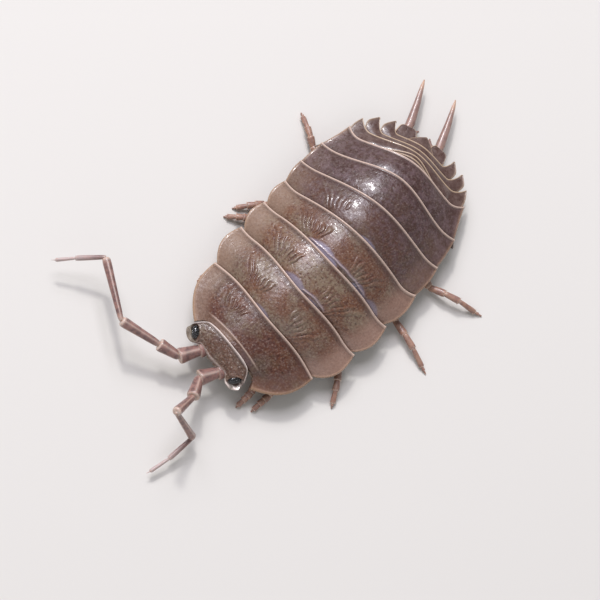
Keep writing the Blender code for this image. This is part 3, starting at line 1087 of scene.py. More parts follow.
@dataclass(frozen=True)
class TrunkPlate(Plate):
    """One arched plate of the trunk, tucked under the plate before it.

    The first plate has no tuck, and a fine ridge and a smooth collar at its front instead.
    """

    number: int
    front: Margin
    rear: Margin
    front_half: float
    rounding: float
    bulge: float
    dusk: tuple[float, float]
    facet: Facet | None = None
    scar: Scar | None = None
    grain: float = 1.0
    wrinkle: float = 0.006
    tuck: float = 0.50
    step: float = 0.16
    step_fade: float = 0.45
    thickness: float = 0.11
    columns: int = 264
    rows: int = 80
    # Relief: the rims, the furrow before the rear one, and the height of grains, wet folds and combs
    rear_rim: Rim = Rim(Ridge(0.036, 0.070, 0.054), 0.06, 0.04)
    side_rim: Rim = Rim(Ridge(0.026, 0.06, 0.045), 0.07, 0.05)
    furrow: Ridge = Ridge(0.024, 0.21, 0.07)
    swells: Lumps = Lumps(0.022, 0.95)
    lumps: Lumps = Lumps(0.006, 0.33, 20)
    wrinkles: Lumps = Lumps(1.0, 0.34, 30)
    wrinkled: Lumps = Lumps(1.0, 1.1, 31)
    grit: Grains = Grains(0.17, 0.060, 40)
    holes: Grains = Grains(0.40, 0.075, 60)
    grain_height: float = 0.020
    lens_depth: float = -0.02
    fold_height: float = 0.045
    comb_height: float = 0.060
    # The first plate's collar
    collar_ridge: Ridge = Ridge(0.045, 0.36, 0.045)
    collar_furrow: Ridge = Ridge(0.03, 0.20, 0.09)
    # Colours: pale rim and specks, dark lines of painted shade and a band before the rim, clouds of dusk,
    # streaks in the lenses
    pale_rim: Ridge = Ridge(0.95, 0.065, 0.078)
    shade_line: Ridge = Ridge(0.35, 0.20, 0.045)
    dark_band: Ridge = Ridge(0.6, 0.31, 0.15)
    specks: Grains = Grains(0.52, 0.052, 80)
    dusk_clouds: Lumps = Lumps(0.14, 1.3, 7)
    wet_streaks: Lumps = Lumps(0.15, 0.3, 9)

    @property
    def names(self) -> tuple[str, str, str]:
        """The piece's name, its slot in the record and the solid that it stands for."""
        return f"shell_plate_{self.number}", "shell", f"pereonite_{self.number}"

    def half(self, r: np.ndarray) -> np.ndarray:
        """Half width at the share r of the plate's length."""
        grown = np.maximum(1 - np.maximum(1 - r, 0) ** self.rounding, -0.35)
        return mix(self.front_half, self.rear.half, grown) + self.bulge * np.sin(np.pi * np.clip(r, 0, 1))

    def lay_out(self, s: np.ndarray, t: np.ndarray) -> Ground:
        """Where the grid's points lie, seen from above.

        Args:
            s: place across the grid, from -1 to 1.
            t: place along it, from 0 to 1.

        Returns:
            The points.
        """
        s = crowd_sides(s, 0.15)
        start = self.front.at(s, self.front_half)
        length = self.rear.at(s, self.rear.half) - start
        behind = mix(-self.tuck, length, crowd_ends(t, 0.6))
        r = behind / length
        half = self.half(r)
        v = s * half + mix(self.front.shift, self.rear.shift, np.clip(r, 0, 1))
        return Ground(s, r, v, start + behind, behind, length - behind, (1 - np.abs(s)) * half)

    def height(self, on: Ground) -> np.ndarray:
        """Height of the plate's outside.

        Args:
            on: the plate's points.

        Returns:
            The height at each.
        """
        crest = mix(self.front.crest, self.rear.crest, on.r)
        rim = mix(self.front.rim, self.rear.rim, on.r)
        height = mix(rim, crest, arch(on.s)) + CROWN * np.sin(np.pi * on.along)
        if self.tuck:
            height -= self.step * on.tucked(self.step_fade) * (0.65 + 0.35 * arch(on.s))
        else:
            ridge = self.collar_ridge.over(on.behind) - self.collar_furrow.over(on.behind)
            height += ridge * self.collar(on)
        return height + self.relief(on) * ramp(on.inside, 0, 0.10) + self.side_rim.over(on.inside)

    def relief(self, on: Ground) -> np.ndarray:
        """Height of the small relief over the plain arch.

        Args:
            on: the plate's points.

        Returns:
            The height at each.
        """
        v, u, k = on.v, on.u, self.number
        wrinkled = smooth(0.5 + self.wrinkled.over(v, u, k))
        height = self.swells.over(v, u, k) + self.lumps.over(v, u, k) * (0.3 + 0.7 * on.back)
        height += self.wrinkle * self.wrinkles.over(v * 2.2, u, k) * on.back * wrinkled
        height += self.grain_height * self.grain * self.grit.over(v, u, k) * (0.1 + 0.9 * on.back)
        height -= self.grain_height * self.grain * self.holes.over(v, u, k) * on.back
        height *= 1 - 0.9 * hill(on.before, 0.18)
        height += self.rear_rim.over(on.before) - self.furrow.over(on.before)
        if self.facet:
            height = mix(height, self.lens_depth, self.facet.share(on))
            height += self.fold_height * self.facet.fold(on) + self.lens_depth * self.facet.ditch(on)
        if self.scar:
            comb = self.scar.wave(on)
            height += self.comb_height * (comb + 0.5 * np.abs(comb))
        return height

    def collar(self, on: Ground) -> np.ndarray:
        """How much of the smooth collar behind the head is at each point across."""
        return ramp(np.abs(on.v), 2.5, -0.9)

    def mark(self, item: Object, on: Ground) -> None:
        """Paint where each colour of the plate lies.

        Args:
            item: the plate.
            on: its points.
        """
        v, u, back = on.v, on.u, on.back
        flank, hue = 1 - back, mix(*self.dusk, on.along)
        dusk = hue + self.dusk_clouds.over(v, u)
        # Painted shade: a dark line where the plate comes out from under the one before, and one in the
        # furrow before its rear rim
        shade = 0.8 * on.tucked(0.05) * (self.tuck > 0) + self.shade_line.over(on.before)
        margin = self.pale_rim.over(on.before)
        if self.facet:
            # The lenses' lilac is partly a painted sheen. Along the fold ridge, painted shade lies on its
            # front face and a painted highlight on its rear face, and the ditch gets painted shade too.
            wet = self.facet.share(on) * (0.85 + self.wet_streaks.over(v * 0.6, u * 3))
            facet = np.maximum(wet, 0.85 * self.facet.fold(on, -0.02, 0.075))
            shade = np.maximum(shade * (1 - facet), 0.85 * self.facet.fold(on, 0.050, 0.028))
            shade = np.maximum(shade, 0.5 * self.facet.ditch(on))
            margin = np.maximum(margin, 0.9 * self.facet.fold(on, -0.012, 0.026))
            paint(item, facet=facet)
        if self.scar:
            paint(item, scar=0.95 * np.clip(-self.scar.wave(on), 0, 1))
        margin = np.maximum(margin, 0.4 * self.grain * back * self.specks.over(v, u, self.number))
        if not self.tuck:
            collar = self.collar(on)
            margin = np.maximum(margin, 0.75 * hill(on.behind - 0.36, 0.04) * collar)
            dusk = np.maximum(dusk, 0.75 * collar * ramp(on.behind, 0.32, -0.05))
            back = back * (1 - collar * ramp(on.behind, 0.34, -0.05))
            flank = 1 - back
        # The first plate's left flank keeps a quarter of its tint and stays dark brown: partly its own
        # colour, partly painted shade on the side turned from the lamps.
        lit = 1.0 if self.tuck else 0.25
        tone(item, dusk, back)
        paint(item, band=self.dark_band.over(on.before) * (0.4 + 0.6 * back), margin=margin, shade=shade,
              left_flank=flank * (1 - 0.97 * hue) * (v > 0) * lit,
              right_flank=flank * (1 - 0.92 * hue) * (v < 0),
              grain=self.grit.over(v, u, self.number) * back * self.grain,
              pit=0.75 * self.holes.over(v, u, self.number) * back, side=0.9 * np.exp(-on.inside / 0.07))


@dataclass(frozen=True)
class RearPlate(Plate):
    """One short plate of the rear body; the outer ones end in hooked points."""

    number: int
    front: Margin
    rear: Margin
    front_half: float
    bulge: float
    tuck: float = 0.28
    step: float = 0.12
    step_fade: float = 0.20
    thickness: float = 0.08
    columns: int = 200
    rows: int = 36
    rear_rim: Rim = Rim(Ridge(0.026, 0.045, 0.035), 0.05, 0.03)
    side_rim: Rim = Rim(Ridge(0.022, 0.045, 0.035), 0.04, 0.035)
    lumps: Lumps = Lumps(0.008, 0.3)
    shade_line: Ridge = Ridge(0.3, 0.145, 0.04)

    @property
    def names(self) -> tuple[str, str, str]:
        """The piece's name, its slot in the record and the solid that it stands for."""
        return f"rear_plate_{self.number}", "tail_shell", "pleon"

    def past(self, v: np.ndarray) -> np.ndarray:
        """How far the places lie past the side of the plate before, straight under the trunk."""
        return ramp(np.abs(v - self.front.shift) - self.front.half, -0.25, 0.25)

    def lay_out(self, s: np.ndarray, t: np.ndarray) -> Ground:
        """Where the grid's points lie, seen from above.

        Args:
            s: place across the grid, from -1 to 1.
            t: place along it, from 0 to 1.

        Returns:
            The points.
        """
        s, t = crowd_sides(s, 0.2), crowd_ends(t, 0.5)
        half = mix(self.front_half, self.rear.half, t) + self.bulge * np.sin(np.pi * t)
        v = s * half + mix(self.front.shift, self.rear.shift, t)
        front = self.front.back(v)
        start = mix(front, np.minimum(front, EDGES[-1].back(v)), self.past(v))
        length = self.rear.back(v) - start
        behind = mix(-self.tuck, length, t)
        r = behind / np.where(length == 0, NOTHING, length)
        return Ground(s, r, v, start + behind, behind, length - behind, (1 - np.abs(s)) * half)

    def height(self, on: Ground) -> np.ndarray:
        """Height of the plate's outside.

        Args:
            on: the plate's points.

        Returns:
            The height at each.
        """
        front = mix(self.front.height(on.v), EDGES[-1].height(on.v), self.past(on.v))
        height = mix(front, self.rear.height(on.v), on.along) - self.step * on.tucked(self.step_fade)
        height += self.rear_rim.over(on.before) * ramp(on.inside, 0, 0.05)
        if self.bulge:
            height += self.side_rim.over(on.inside)
        lumps = self.lumps.over(on.v, on.u, self.number)
        return height + lumps * ramp(on.before, 0, 0.2) * ramp(on.inside, 0, 0.2)

    def mark(self, item: Object, on: Ground) -> None:
        """Paint the dusk, the pale rims and the dark lines of painted shade beside them.

        Args:
            item: the plate.
            on: its points.
        """
        side = np.exp(-on.inside / 0.06) if self.bulge else 0.0
        tone(item, 1.0)
        # The dark lines are painted shade: where the plate comes out from under the one before, and in
        # front of its rear rim.
        paint(item, margin=0.95 * np.maximum(hill(on.before - 0.045, 0.062), side),
              shade=0.6 * on.tucked(0.04) + self.shade_line.over(on.before))


@dataclass(frozen=True)
class TailPlate(Plate):
    """The short triangular tail plate."""

    front: float = 8.70
    tip: float = 9.68
    half: float = 1.02
    tip_half: float = 0.14
    shift: float = 0.16
    top: float = 1.78
    tip_top: float = 1.36
    crown: float = 0.20
    thickness: float = 0.10
    columns: int = 64
    rows: int = 48
    rim: Rim = Rim(Ridge(0.03, 0.06, 0.05), 0.05, 0.04)
    lumps: Lumps = Lumps(0.006, 0.25, 3)

    @property
    def names(self) -> tuple[str, str, str]:
        """The piece's name, its slot in the record and the solid that it stands for."""
        return "tail_plate", "tail_shell", "telson"

    def lay_out(self, s: np.ndarray, t: np.ndarray) -> Ground:
        """Where the grid's points lie, seen from above.

        Args:
            s: place across the grid, from -1 to 1.
            t: place along it, from 0 to 1.

        Returns:
            The points.
        """
        half = mix(self.half, self.tip_half, t ** 1.3) * np.sqrt(np.clip(1 - t ** 14, 0.05, 1))
        u = mix(self.front, self.tip, t) - 0.05 * s * s
        before = self.tip - u
        inside = np.minimum((1 - np.abs(s)) * half, before)
        return Ground(s, t, s * half + self.shift, u, u - self.front, before, inside)

    def height(self, on: Ground) -> np.ndarray:
        """Height of the plate's outside.

        Args:
            on: the plate's points.

        Returns:
            The height at each.
        """
        height = mix(self.top, self.tip_top, on.r) + self.crown * (1 - on.s * on.s) * (1 - 0.6 * on.r)
        return height + self.rim.over(on.inside) + self.lumps.over(on.v, on.u)

    def mark(self, item: Object, on: Ground) -> None:
        """Paint the dusk and the pale edges."""
        tone(item, 1.0)
        paint(item, margin=0.9 * np.exp(-np.maximum(on.inside - 0.02, 0) / 0.05))


# Head


@dataclass(frozen=True)
class Eye:
    """One compound eye: a low oval dome set with rows of small lenses.

    Its rows lie at shares of its half width, with the lenses of every other row shifted by half.
    """

    side: Side
    tilt: float = math.radians(36)
    v: float = 1.86
    u: float = -10.00
    z: float = 2.02
    long: float = 0.43
    wide: float = 0.24
    high: float = 0.22
    sink: float = 0.04
    turn: float = math.radians(38)
    lens: float = 0.056
    bury: float = 0.60
    rows: tuple[float, ...] = (-0.86, -0.50, -0.16, 0.16, 0.50, 0.86)
    spacing: float = 0.105
    # How strong the painted highlight along the rim of the lobe ahead of it is
    outline: float = 0.2

    def frame(self) -> Matrix:
        """The eye's pose: its long way slants forward and out, and it looks out and up.

        Returns:
            The matrix.
        """
        sign = self.side.value
        spot = Matrix.Translation(point((sign * self.v, self.u, self.z)))
        return spot @ Matrix.Rotation(-sign * self.turn, 4, "Z") @ Matrix.Rotation(sign * self.tilt, 4, "Y")

    def lens_spots(self) -> list[Spot]:
        """Where the lenses sit on the dome.

        Returns:
            Places across, along and up from the dome's middle.
        """
        spots = []
        for i, row in enumerate(self.rows):
            reach = math.sqrt(1 - row ** 2) * self.long * 0.97
            count = int(reach / self.spacing)
            for k in range(-count, count + 1):
                y = (k + 0.5 * (i % 2)) * self.spacing
                if abs(y) <= reach:
                    rise = max(1 - row ** 2 - (y / self.long) ** 2, 0.0)
                    spots.append((row * self.wide, y, self.high * math.sqrt(rise) - self.bury * self.lens))
        return spots

    def build(self, finish: Material) -> None:
        """Make the dome and its lenses.

        Args:
            finish: their material.
        """
        dome = ball("eye_dome", 48, 32)
        with editing():
            bpy.ops.mesh.bisect(plane_co=(0, 0, -0.25), plane_no=(0, 0, 1), clear_inner=True, use_fill=True)
        pose = self.frame() @ Matrix.Translation((0, 0, -self.sink * MM))
        size = Matrix.Diagonal((self.wide * MM, self.long * MM, self.high * MM, 1.0))
        parts = [copy_at(dome, pose @ size)]
        put_down()
        bpy.ops.mesh.primitive_ico_sphere_add(subdivisions=2, radius=1.0)
        lens = named("lens")
        for spot in self.lens_spots():
            seat = pose @ Matrix.Translation(Vector(spot) * MM)
            parts.append(copy_at(lens, seat @ Matrix.Scale(self.lens * MM, 4)))
        discard(dome)
        discard(lens)
        eye = join(f"compound_eye_{self.side.word}", parts)
        dress(eye, finish)
        hang(eye, "eye", f"eye_{self.side.word}")


@dataclass(frozen=True)
class Scalp:
    """The points of the head: places, share of the upper side, and distances from its edges."""

    v: np.ndarray
    u: np.ndarray
    z: np.ndarray
    top: np.ndarray
    before: np.ndarray
    behind: np.ndarray


@dataclass(frozen=True)
class Head:
    """The head: a short, broad shield with a raised rear border and a rounded lobe ahead of each eye."""

    half: float = 2.33
    rear: float = -8.90
    rear_swing: float = 0.62
    rear_straight: float = 0.72
    brow: float = -10.27
    notch: float = 0.05
    lobe: float = 0.34
    lobe_inner: float = 1.15
    lobe_outer: float = 2.57
    lobe_sink: float = 0.16
    crest: float = 2.80
    crest_fall: float = 0.66
    brow_height: float = 2.02
    throat: float = 1.22
    side_throat: float = 1.46
    chin: float = 0.42
    blunt: float = 0.30
    segments: int = 220
    rings: int = 200
    # Relief: the border and the furrow ahead of it, the brow's rim, grains and pits
    border: Ridge = Ridge(0.085, 0.10, 0.070)
    furrow: Ridge = Ridge(0.035, 0.26, 0.06)
    brow_rim: Ridge = Ridge(1.0, 0.05, 0.05)
    brow_furrow: Ridge = Ridge(1.0, 0.17, 0.06)
    rim_height: float = 0.03
    grit: Grains = Grains(0.135, 0.065, 5)
    holes: Grains = Grains(0.21, 0.06, 9)
    grit_height: float = 0.024
    hole_depth: float = 0.022
    swells: Lumps = Lumps(0.014, 0.5, 4)
    lumps: Lumps = Lumps(0.005, 0.2, 6)
    # Colours: the pale border, partly a painted highlight, painted glints on some grains, painted shade in
    # a line and a band ahead of the border, clouds of dusk
    pale_border: Ridge = Ridge(0.98, 0.10, 0.085)
    sparkle: Grains = Grains(0.30, 0.055, 21)
    shade_line: Ridge = Ridge(0.45, 0.24, 0.05)
    shade_band: Ridge = Ridge(0.22, 0.40, 0.16)
    dusk_clouds: Lumps = Lumps(0.2, 0.6, 8)
    # The glassy knob ahead of each eye: its place, how far it swells and the height of the painted
    # highlight along its pale rim
    knob: Spot = (2.02, -10.40, 1.80)
    swell: Ridge = Ridge(0.15, 0.15, 0.40)
    outline: Ridge = Ridge(1.0, 1.80, 0.075)
    socket: Ridge = Ridge(0.030, 1.28, 0.12)
    socket_gap: float = 0.02

    def rear_line(self, v: np.ndarray) -> np.ndarray:
        """How far back the rear border lies at v."""
        out = (np.abs(v) / self.half - self.rear_straight) / (1 - self.rear_straight)
        return self.rear - self.rear_swing * np.clip(out, 0, 1) ** 2

    def lobe_share(self, v: np.ndarray) -> np.ndarray:
        """How much of a side lobe lies at v."""
        way = (np.abs(v) - self.lobe_inner) / (self.lobe_outer - self.lobe_inner)
        return np.sin(np.pi * np.clip(way, 0, 1))

    def brow_line(self, v: np.ndarray) -> np.ndarray:
        """How far forward the front edge lies at v."""
        notch = self.notch * np.cos(np.pi * np.clip(np.abs(v) / self.lobe_inner, 0, 1))
        return self.brow - self.lobe * self.lobe_share(v) - notch

    def mass(self, points: np.ndarray) -> Scalp:
        """The head's plain form.

        Args:
            points: those of a unit ball whose poles lie left and right.

        Returns:
            The same points on the head.
        """
        across, out = points[:, 2], np.abs(points[:, 2])
        girth = np.sqrt(np.clip(1 - across ** 2, NOTHING, 1))
        fore, lift = points[:, 0] / girth, points[:, 1] / girth
        grow = girth ** self.blunt
        v = across * self.half
        rear, brow = self.rear_line(v), self.brow_line(v)
        run = np.sign(fore) * np.abs(fore) ** 0.75
        along = np.clip((1 - run) / 2, 0, 1)
        crest = self.crest - self.crest_fall * out ** 2.4
        roof = mix(crest, self.brow_height - self.lobe_sink * self.lobe_share(v), along ** 1.7)
        girdle = roof - mix(0.30, 0.16, along)
        floor = mix(self.throat, self.side_throat, ramp(out, 0.55, 0.45))
        up = np.clip(lift, 0, 1) ** 0.62 * grow ** 0.8
        down = np.clip(-lift, 0, 1) ** 0.80 * grow
        z = girdle + (roof - girdle) * up - (girdle - floor) * down
        u = (rear + brow) / 2 + (rear - brow) / 2 * run * grow
        u = u + self.chin * (1 - out / 2) * down * ramp(along, 0.35, 0.5)
        before = (rear - u) / np.sqrt(1 + (1.2 * ramp(out, 0.72, 0.28)) ** 2)
        return Scalp(v, u, z, ramp(lift, 0, 0.25), before, u - brow)

    def build(self, top: Material, eyes: list[Eye]) -> None:
        """Make the head.

        Args:
            top: its finish.
            eyes: the eyes it carries, which it leaves seats for.
        """
        item = ball("head_shield", self.segments, self.rings)
        on = self.mass(corners(item))
        v, u, before = on.v, on.u, on.before
        rough = on.top * ramp(before, 0.2, 0.1)
        grit, holes = self.grit.over(v, u) * rough, self.holes.over(v, u) * rough
        middle = on.top * ramp(np.abs(v), 1.5, -0.3)
        rim = self.brow_rim.over(on.behind) * middle
        z = on.z + (self.border.over(before) - self.furrow.over(before)) * on.top
        z += self.grit_height * grit - self.hole_depth * holes
        z += (self.swells.over(v, u) + self.lumps.over(v, u)) * on.top
        z += self.rim_height * (rim - self.brow_furrow.over(on.behind) * middle)
        points = place(v, u, z)
        lobes, rim_highlights = np.zeros(len(points)), np.zeros(len(points))
        for eye in eyes:
            points, glass, outline = self.seat(points, eye)
            lobes, rim_highlights = np.maximum(lobes, glass), np.maximum(rim_highlights, outline)
        move_corners(item, points)
        # Painted light on the head: glints on some grains, a highlight along the pale rear border and round
        # the lobes, and painted shade in a line and a band ahead of the border.
        sparkle = self.sparkle.over(v, u) * on.top * ramp(before, 0.25, 0.1) * ramp(before, 1.1, -0.5)
        pale = [self.pale_border.over(before) * on.top, 0.35 * rim, 0.95 * rim_highlights, 0.85 * sparkle]
        dark = (self.shade_line.over(before) + self.shade_band.over(before)) * on.top
        tone(item, 0.25 + 0.25 * smooth(-u - 9.6) + self.dusk_clouds.over(v, u))
        paint(item, grain=grit * (1 - lobes), facet=0.85 * lobes, pit=0.7 * holes,
              margin=np.maximum.reduce(pale), shade=dark)
        dress(item, top)
        hang(item, "head_shell", "head")

    def seat(self, points: np.ndarray, eye: Eye) -> tuple[np.ndarray, np.ndarray, np.ndarray]:
        """Sink the seat of an eye and swell the glassy lobe ahead of it.

        Args:
            points: the head's points in metres.
            eye: the eye.

        Returns:
            The new points, and the shares of the lobe and of the painted highlight along its rim at each.
        """
        frame = np.array(eye.frame())
        inverse = np.linalg.inv(frame)
        local = (points @ inverse[:3, :3].T + inverse[:3, 3]) / MM
        x, y, z = local.T
        reach = np.hypot(x / (eye.wide + self.socket_gap), y / (eye.long + self.socket_gap))
        sunk = mix(z, np.minimum(z, -eye.sink), 1 - ramp(reach, 0.92, 0.28))
        local[:, 2] = sunk + self.socket.over(reach) * (z > -0.5)
        points = (local * MM) @ frame[:3, :3].T + frame[:3, 3]
        v, u, height = self.knob
        away = points - np.array(point((eye.side.value * v, u, height)))
        far = np.linalg.norm(away, axis=1) / MM
        swell = self.swell.over(far) * ramp(reach, 1.0, 0.12)
        points = points + away / np.maximum(far * MM, NOTHING)[:, None] * (swell * MM)[:, None]
        height = points[:, 2] / MM
        glass = ramp(far, 0.70, -0.12) * ramp(reach, 1.04, 0.12) * ramp(height, 1.50, 0.2)
        return points, glass, eye.outline * self.outline.over(height) * glass


# Limbs


# Share along an article and its girth there, of a leg's: waist, shoulder, belly, cuff and closed end
ARTICLE = [(0.0, 0.50), (0.02, 0.66), (0.07, 0.78), (0.16, 0.84), (0.45, 0.92), (0.78, 1.0),
           (0.90, 0.98), (0.955, 0.90), (0.975, 0.72), (0.985, 0.45)]
# The same of a feeler's, which swells like a club
CLUB = [(0.0, 0.40), (0.02, 0.56), (0.06, 0.66), (0.13, 0.72), (0.30, 0.78), (0.52, 0.86), (0.72, 0.94),
        (0.86, 1.02), (0.93, 1.04), (0.965, 0.96), (0.98, 0.76), (0.985, 0.48)]


@dataclass(frozen=True)
class Hair:
    """How the bristles of a limb are: how many round each joint, their length and half width."""

    count: int = 0
    length: float = 0.0
    half: float = 0.016


class LimbMaster:
    """The articles and the bristle that every leg and feeler is built from, modelled once."""

    LAP = 0.22
    CLUB_LAP = 0.12
    CLUB_KEEL = 0.05
    KEELS = 4
    SPLAY = 0.75

    def __init__(self) -> None:
        """Model the masters."""
        self.article = self.model_article(ARTICLE, 0.0)
        self.club = self.model_article(CLUB, self.CLUB_KEEL)
        self.bristle = self.model_bristle()

    def model_article(self, profile: list[tuple[float, float]], keel: float) -> Object:
        """A unit article along z, extruded ring by ring and rounded off.

        Args:
            profile: share along it and girth there.
            keel: how far its pale lengthwise keels stand out, as a share of the girth.

        Returns:
            The article.
        """
        put_down()
        bpy.ops.mesh.primitive_circle_add(vertices=16, radius=profile[0][1], fill_type="NGON")
        item = named("article")
        with editing():
            bpy.ops.mesh.normals_make_consistent(inside=False)
            for (low, last), (high, wide) in zip(profile, profile[1:]):
                bpy.ops.mesh.extrude_region_move(TRANSFORM_OT_translate={"value": (0, 0, high - low)})
                bpy.ops.transform.resize(value=(wide / last, wide / last, 1), center_override=(0, 0, high))
            face_out()
        shape_up(item, "SUBSURF", levels=1, render_levels=1)
        shape = corners(item)
        along = shape[:, 2].copy()
        wave = np.cos(self.KEELS * np.arctan2(shape[:, 1], shape[:, 0]))
        stand = 1 + keel * wave * ramp(along, 0, 0.2) * ramp(along, 0.95, -0.1)
        shape[:, :2] *= stand[:, None]
        move_corners(item, shape)
        ends = np.maximum(0.6 * hill(along, 0.08), 0.8 * hill(along - 0.97, 0.04))
        paint(item, joint=np.maximum(ends, 10 * keel * np.clip(wave, 0, 1) ** 3), tip=0.0)
        item.data.shade_smooth()
        return item

    def model_bristle(self) -> Object:
        """A unit bristle along z, slightly bent and drawn out to a point.

        Returns:
            The bristle.
        """
        bend = 0.4
        put_down()
        bpy.ops.mesh.primitive_cone_add(vertices=5, radius1=1.0, radius2=0.6, depth=0.5,
                                        location=(0, 0, 0.25))
        item = named("bristle")
        with editing():
            bpy.ops.mesh.select_mode(type="FACE")
            bpy.ops.mesh.select_all(action="DESELECT")
        for face in item.data.polygons:
            face.select = face.normal.z > 0.9
        bpy.ops.object.mode_set(mode="EDIT")
        bpy.ops.mesh.extrude_region_move(TRANSFORM_OT_translate={"value": (bend, 0, 0.5)})
        bpy.ops.transform.resize(value=(0.25, 0.25, 1), center_override=(bend, 0, 1.0))
        bpy.ops.object.mode_set(mode="OBJECT")
        paint(item, joint=1.0, tip=0.0)
        return item

    def clear(self) -> None:
        """Remove the masters."""
        for master in (self.article, self.club, self.bristle):
            discard(master)

    def limb(self, joints: list[tuple[Vector, float]], hair: Hair = Hair(), flat: float = 0.92,
             club: bool = False) -> list[Object]:
        """The articles of a limb with their bristles.

        Args:
            joints: each joint's point in metres and the radius of the article that ends there.
            hair: its bristles.
            flat: height of an article over its width.
            club: whether the articles are club-shaped and keeled.

        Returns:
            The parts, to be joined.
        """
        parts = []
        for k, ((start, _), (stop, radius)) in enumerate(zip(joints, joints[1:])):
            axis = (stop - start).normalized()
            lap = (self.CLUB_LAP if club else self.LAP) * radius * MM
            pose = aim_along(start - axis * lap, stop + axis * lap, radius, radius * flat)
            parts.append(copy_at(self.club if club else self.article, pose))
            for i in range(hair.count):
                parts += self.bristle_on(pose, axis, hair, i, k)
        return parts

    def bristle_on(self, pose: Matrix, axis: Vector, hair: Hair, i: int, k: int) -> list[Object]:
        """One bristle near the end of an article, unless it would reach below the floor.

        Args:
            pose: the article's pose.
            axis: its direction.
            hair: the limb's bristles.
            i: the bristle's number.
            k: the article's number.

        Returns:
            The bristle, or nothing.
        """
        turn = 2 * math.pi * (i + 0.5 * (k % 2) + 0.3 * float(scatter(i, k, 11))) / hair.count
        reach = hair.length * mix(0.6, 1.15, float(scatter(i, k, 12)))
        share = mix(0.84, 0.97, float(scatter(i, k, 13)))
        out = pose.to_3x3() @ Vector((math.cos(turn), math.sin(turn), 0))
        foot = pose @ Vector((0.9 * math.cos(turn), 0.9 * math.sin(turn), share))
        tip = foot + (axis + out.normalized() * self.SPLAY).normalized() * reach * MM
        return [round_copy(self.bristle, foot, tip, hair.half)] if tip.z > 0.0 else []


def fade(item: Object, end: Vector, reach: float, run: float) -> np.ndarray:
    """A share that grows towards the end of a limb.

    Args:
        item: the limb.
        end: its end in metres.
        reach: distance from it where the share starts.
        run: distance over which it grows to 1.

    Returns:
        The share at each point.
    """
    far = np.linalg.norm(corners(item) - np.array(end), axis=1) / MM
    return ramp(far, reach, -run)


@dataclass(frozen=True)
class Feeler:
    """A jointed antenna: five stout articles and a two-jointed lash with a fine tip."""

    side: Side
    joints: tuple[Joint, ...]
    socket_length: float = 0.30
    socket_radius: float = 0.50
    tip_length: float = 0.35
    tip_sink: float = 0.05
    tip_radius: float = 0.055
    hair: Hair = Hair(7, 0.13)
    lash_hair: Hair = Hair(5, 0.10)

    def build(self, master: LimbMaster, finish: Material) -> None:
        """Make the feeler.

        Args:
            master: the masters of the articles.
            finish: its material.
        """
        joints = [(point(spot), radius) for spot, radius in self.joints]
        (root, _), (second, _) = joints[:2]
        (before, _), (end, _) = joints[-2:]
        socket = root + (root - second).normalized() * self.socket_length * MM
        axis = (end - before).normalized()
        parts = master.limb(joints[:-2], self.hair, flat=0.95, club=True)
        parts += master.limb(joints[-3:], self.lash_hair, flat=1.0)
        parts += master.limb([(socket, self.socket_radius), (root, self.socket_radius)])
        parts.append(round_copy(master.bristle, end - axis * self.tip_sink * MM,
                                end + axis * self.tip_length * MM, self.tip_radius))
        item = join(f"feeler_{self.side.word}", parts)
        paint(item, tip=0.8 * fade(item, end, 3.2, 2.4))
        dress(item, finish)
        hang(item, "antenna", f"antenna_{self.side.word}")


@dataclass(frozen=True)
class Leg:
    """A walking leg: coxa, basis, ischium, merus, carpus, propodus and claw."""

    side: Side
    number: int
    root: tuple[float, float]
    knee: tuple[float, float]
    foot: tuple[float, float]
    rise: float
    top: float = 1.30
    hip: float = 0.52
    hip_radius: float = 0.25
    knee_height: float = 0.46
    ankle: float = 0.17
    # How far the coxa reaches above and below the top, and its radius
    coxa: tuple[float, float, float] = (0.18, 0.42, 0.36)
    # Share of the thigh or shin where each article ends, and its radius
    thigh: tuple[tuple[float, float], ...] = ((0.62, 0.27), (1.00, 0.25))
    shin: tuple[tuple[float, float], ...] = ((0.27, 0.25), (0.54, 0.225), (0.87, 0.175))
    hair: Hair = Hair(6, 0.20)
    # Radius of the claw's root and tip, and the height of its end
    claw_radii: tuple[float, float] = (0.10, 0.055)
    toe: float = 0.045

    def height(self, t: float) -> float:
        """Height of the middle of the shin at the share t of the way to the ankle."""
        return mix(self.knee_height, self.ankle, t) + self.rise * math.sin(math.pi * t)

    def build(self, master: LimbMaster, finish: Material) -> None:
        """Make the leg from under its plate to the claw on the floor.

        Args:
            master: the masters of the articles.
            finish: its material.
        """
        above, below, radius = self.coxa
        coxa = [(point((*self.root, z)), radius) for z in (self.top + above, self.top - below)]
        hip, knee = (*self.root, self.top - self.hip), (*self.knee, self.knee_height)
        joints = [(point(hip), self.hip_radius)]
        joints += [(point(between(hip, knee, end)), radius) for end, radius in self.thigh]
        last = self.shin[-1][0]
        for end, radius in self.shin:
            joints.append((point((*between(self.knee, self.foot, end), self.height(end / last))), radius))
        parts = master.limb(coxa) + master.limb(joints, self.hair) + self.claw(master, joints[-1][0])
        name = f"{self.side.word}_{self.number}"
        item = join(f"walking_leg_{name}", parts)
        points = corners(item)
        points[:, 2] = np.maximum(points[:, 2], 0.0)
        move_corners(item, points)
        dress(item, finish)
        hang(item, "leg", f"leg_{name}")

    def claw(self, master: LimbMaster, ankle: Vector) -> list[Object]:
        """The small claw of two parts, bent down to the floor.

        Args:
            master: the masters of the articles.
            ankle: where it starts.

        Returns:
            Its two parts.
        """
        bend, lift = 0.55, 0.03
        toe = point((*self.foot, self.toe))
        middle = ankle.lerp(toe, bend) + Vector((0, 0, lift * MM))
        root, tip = self.claw_radii
        return [round_copy(master.article, ankle, middle, root),
                round_copy(master.article, middle, toe, tip)]


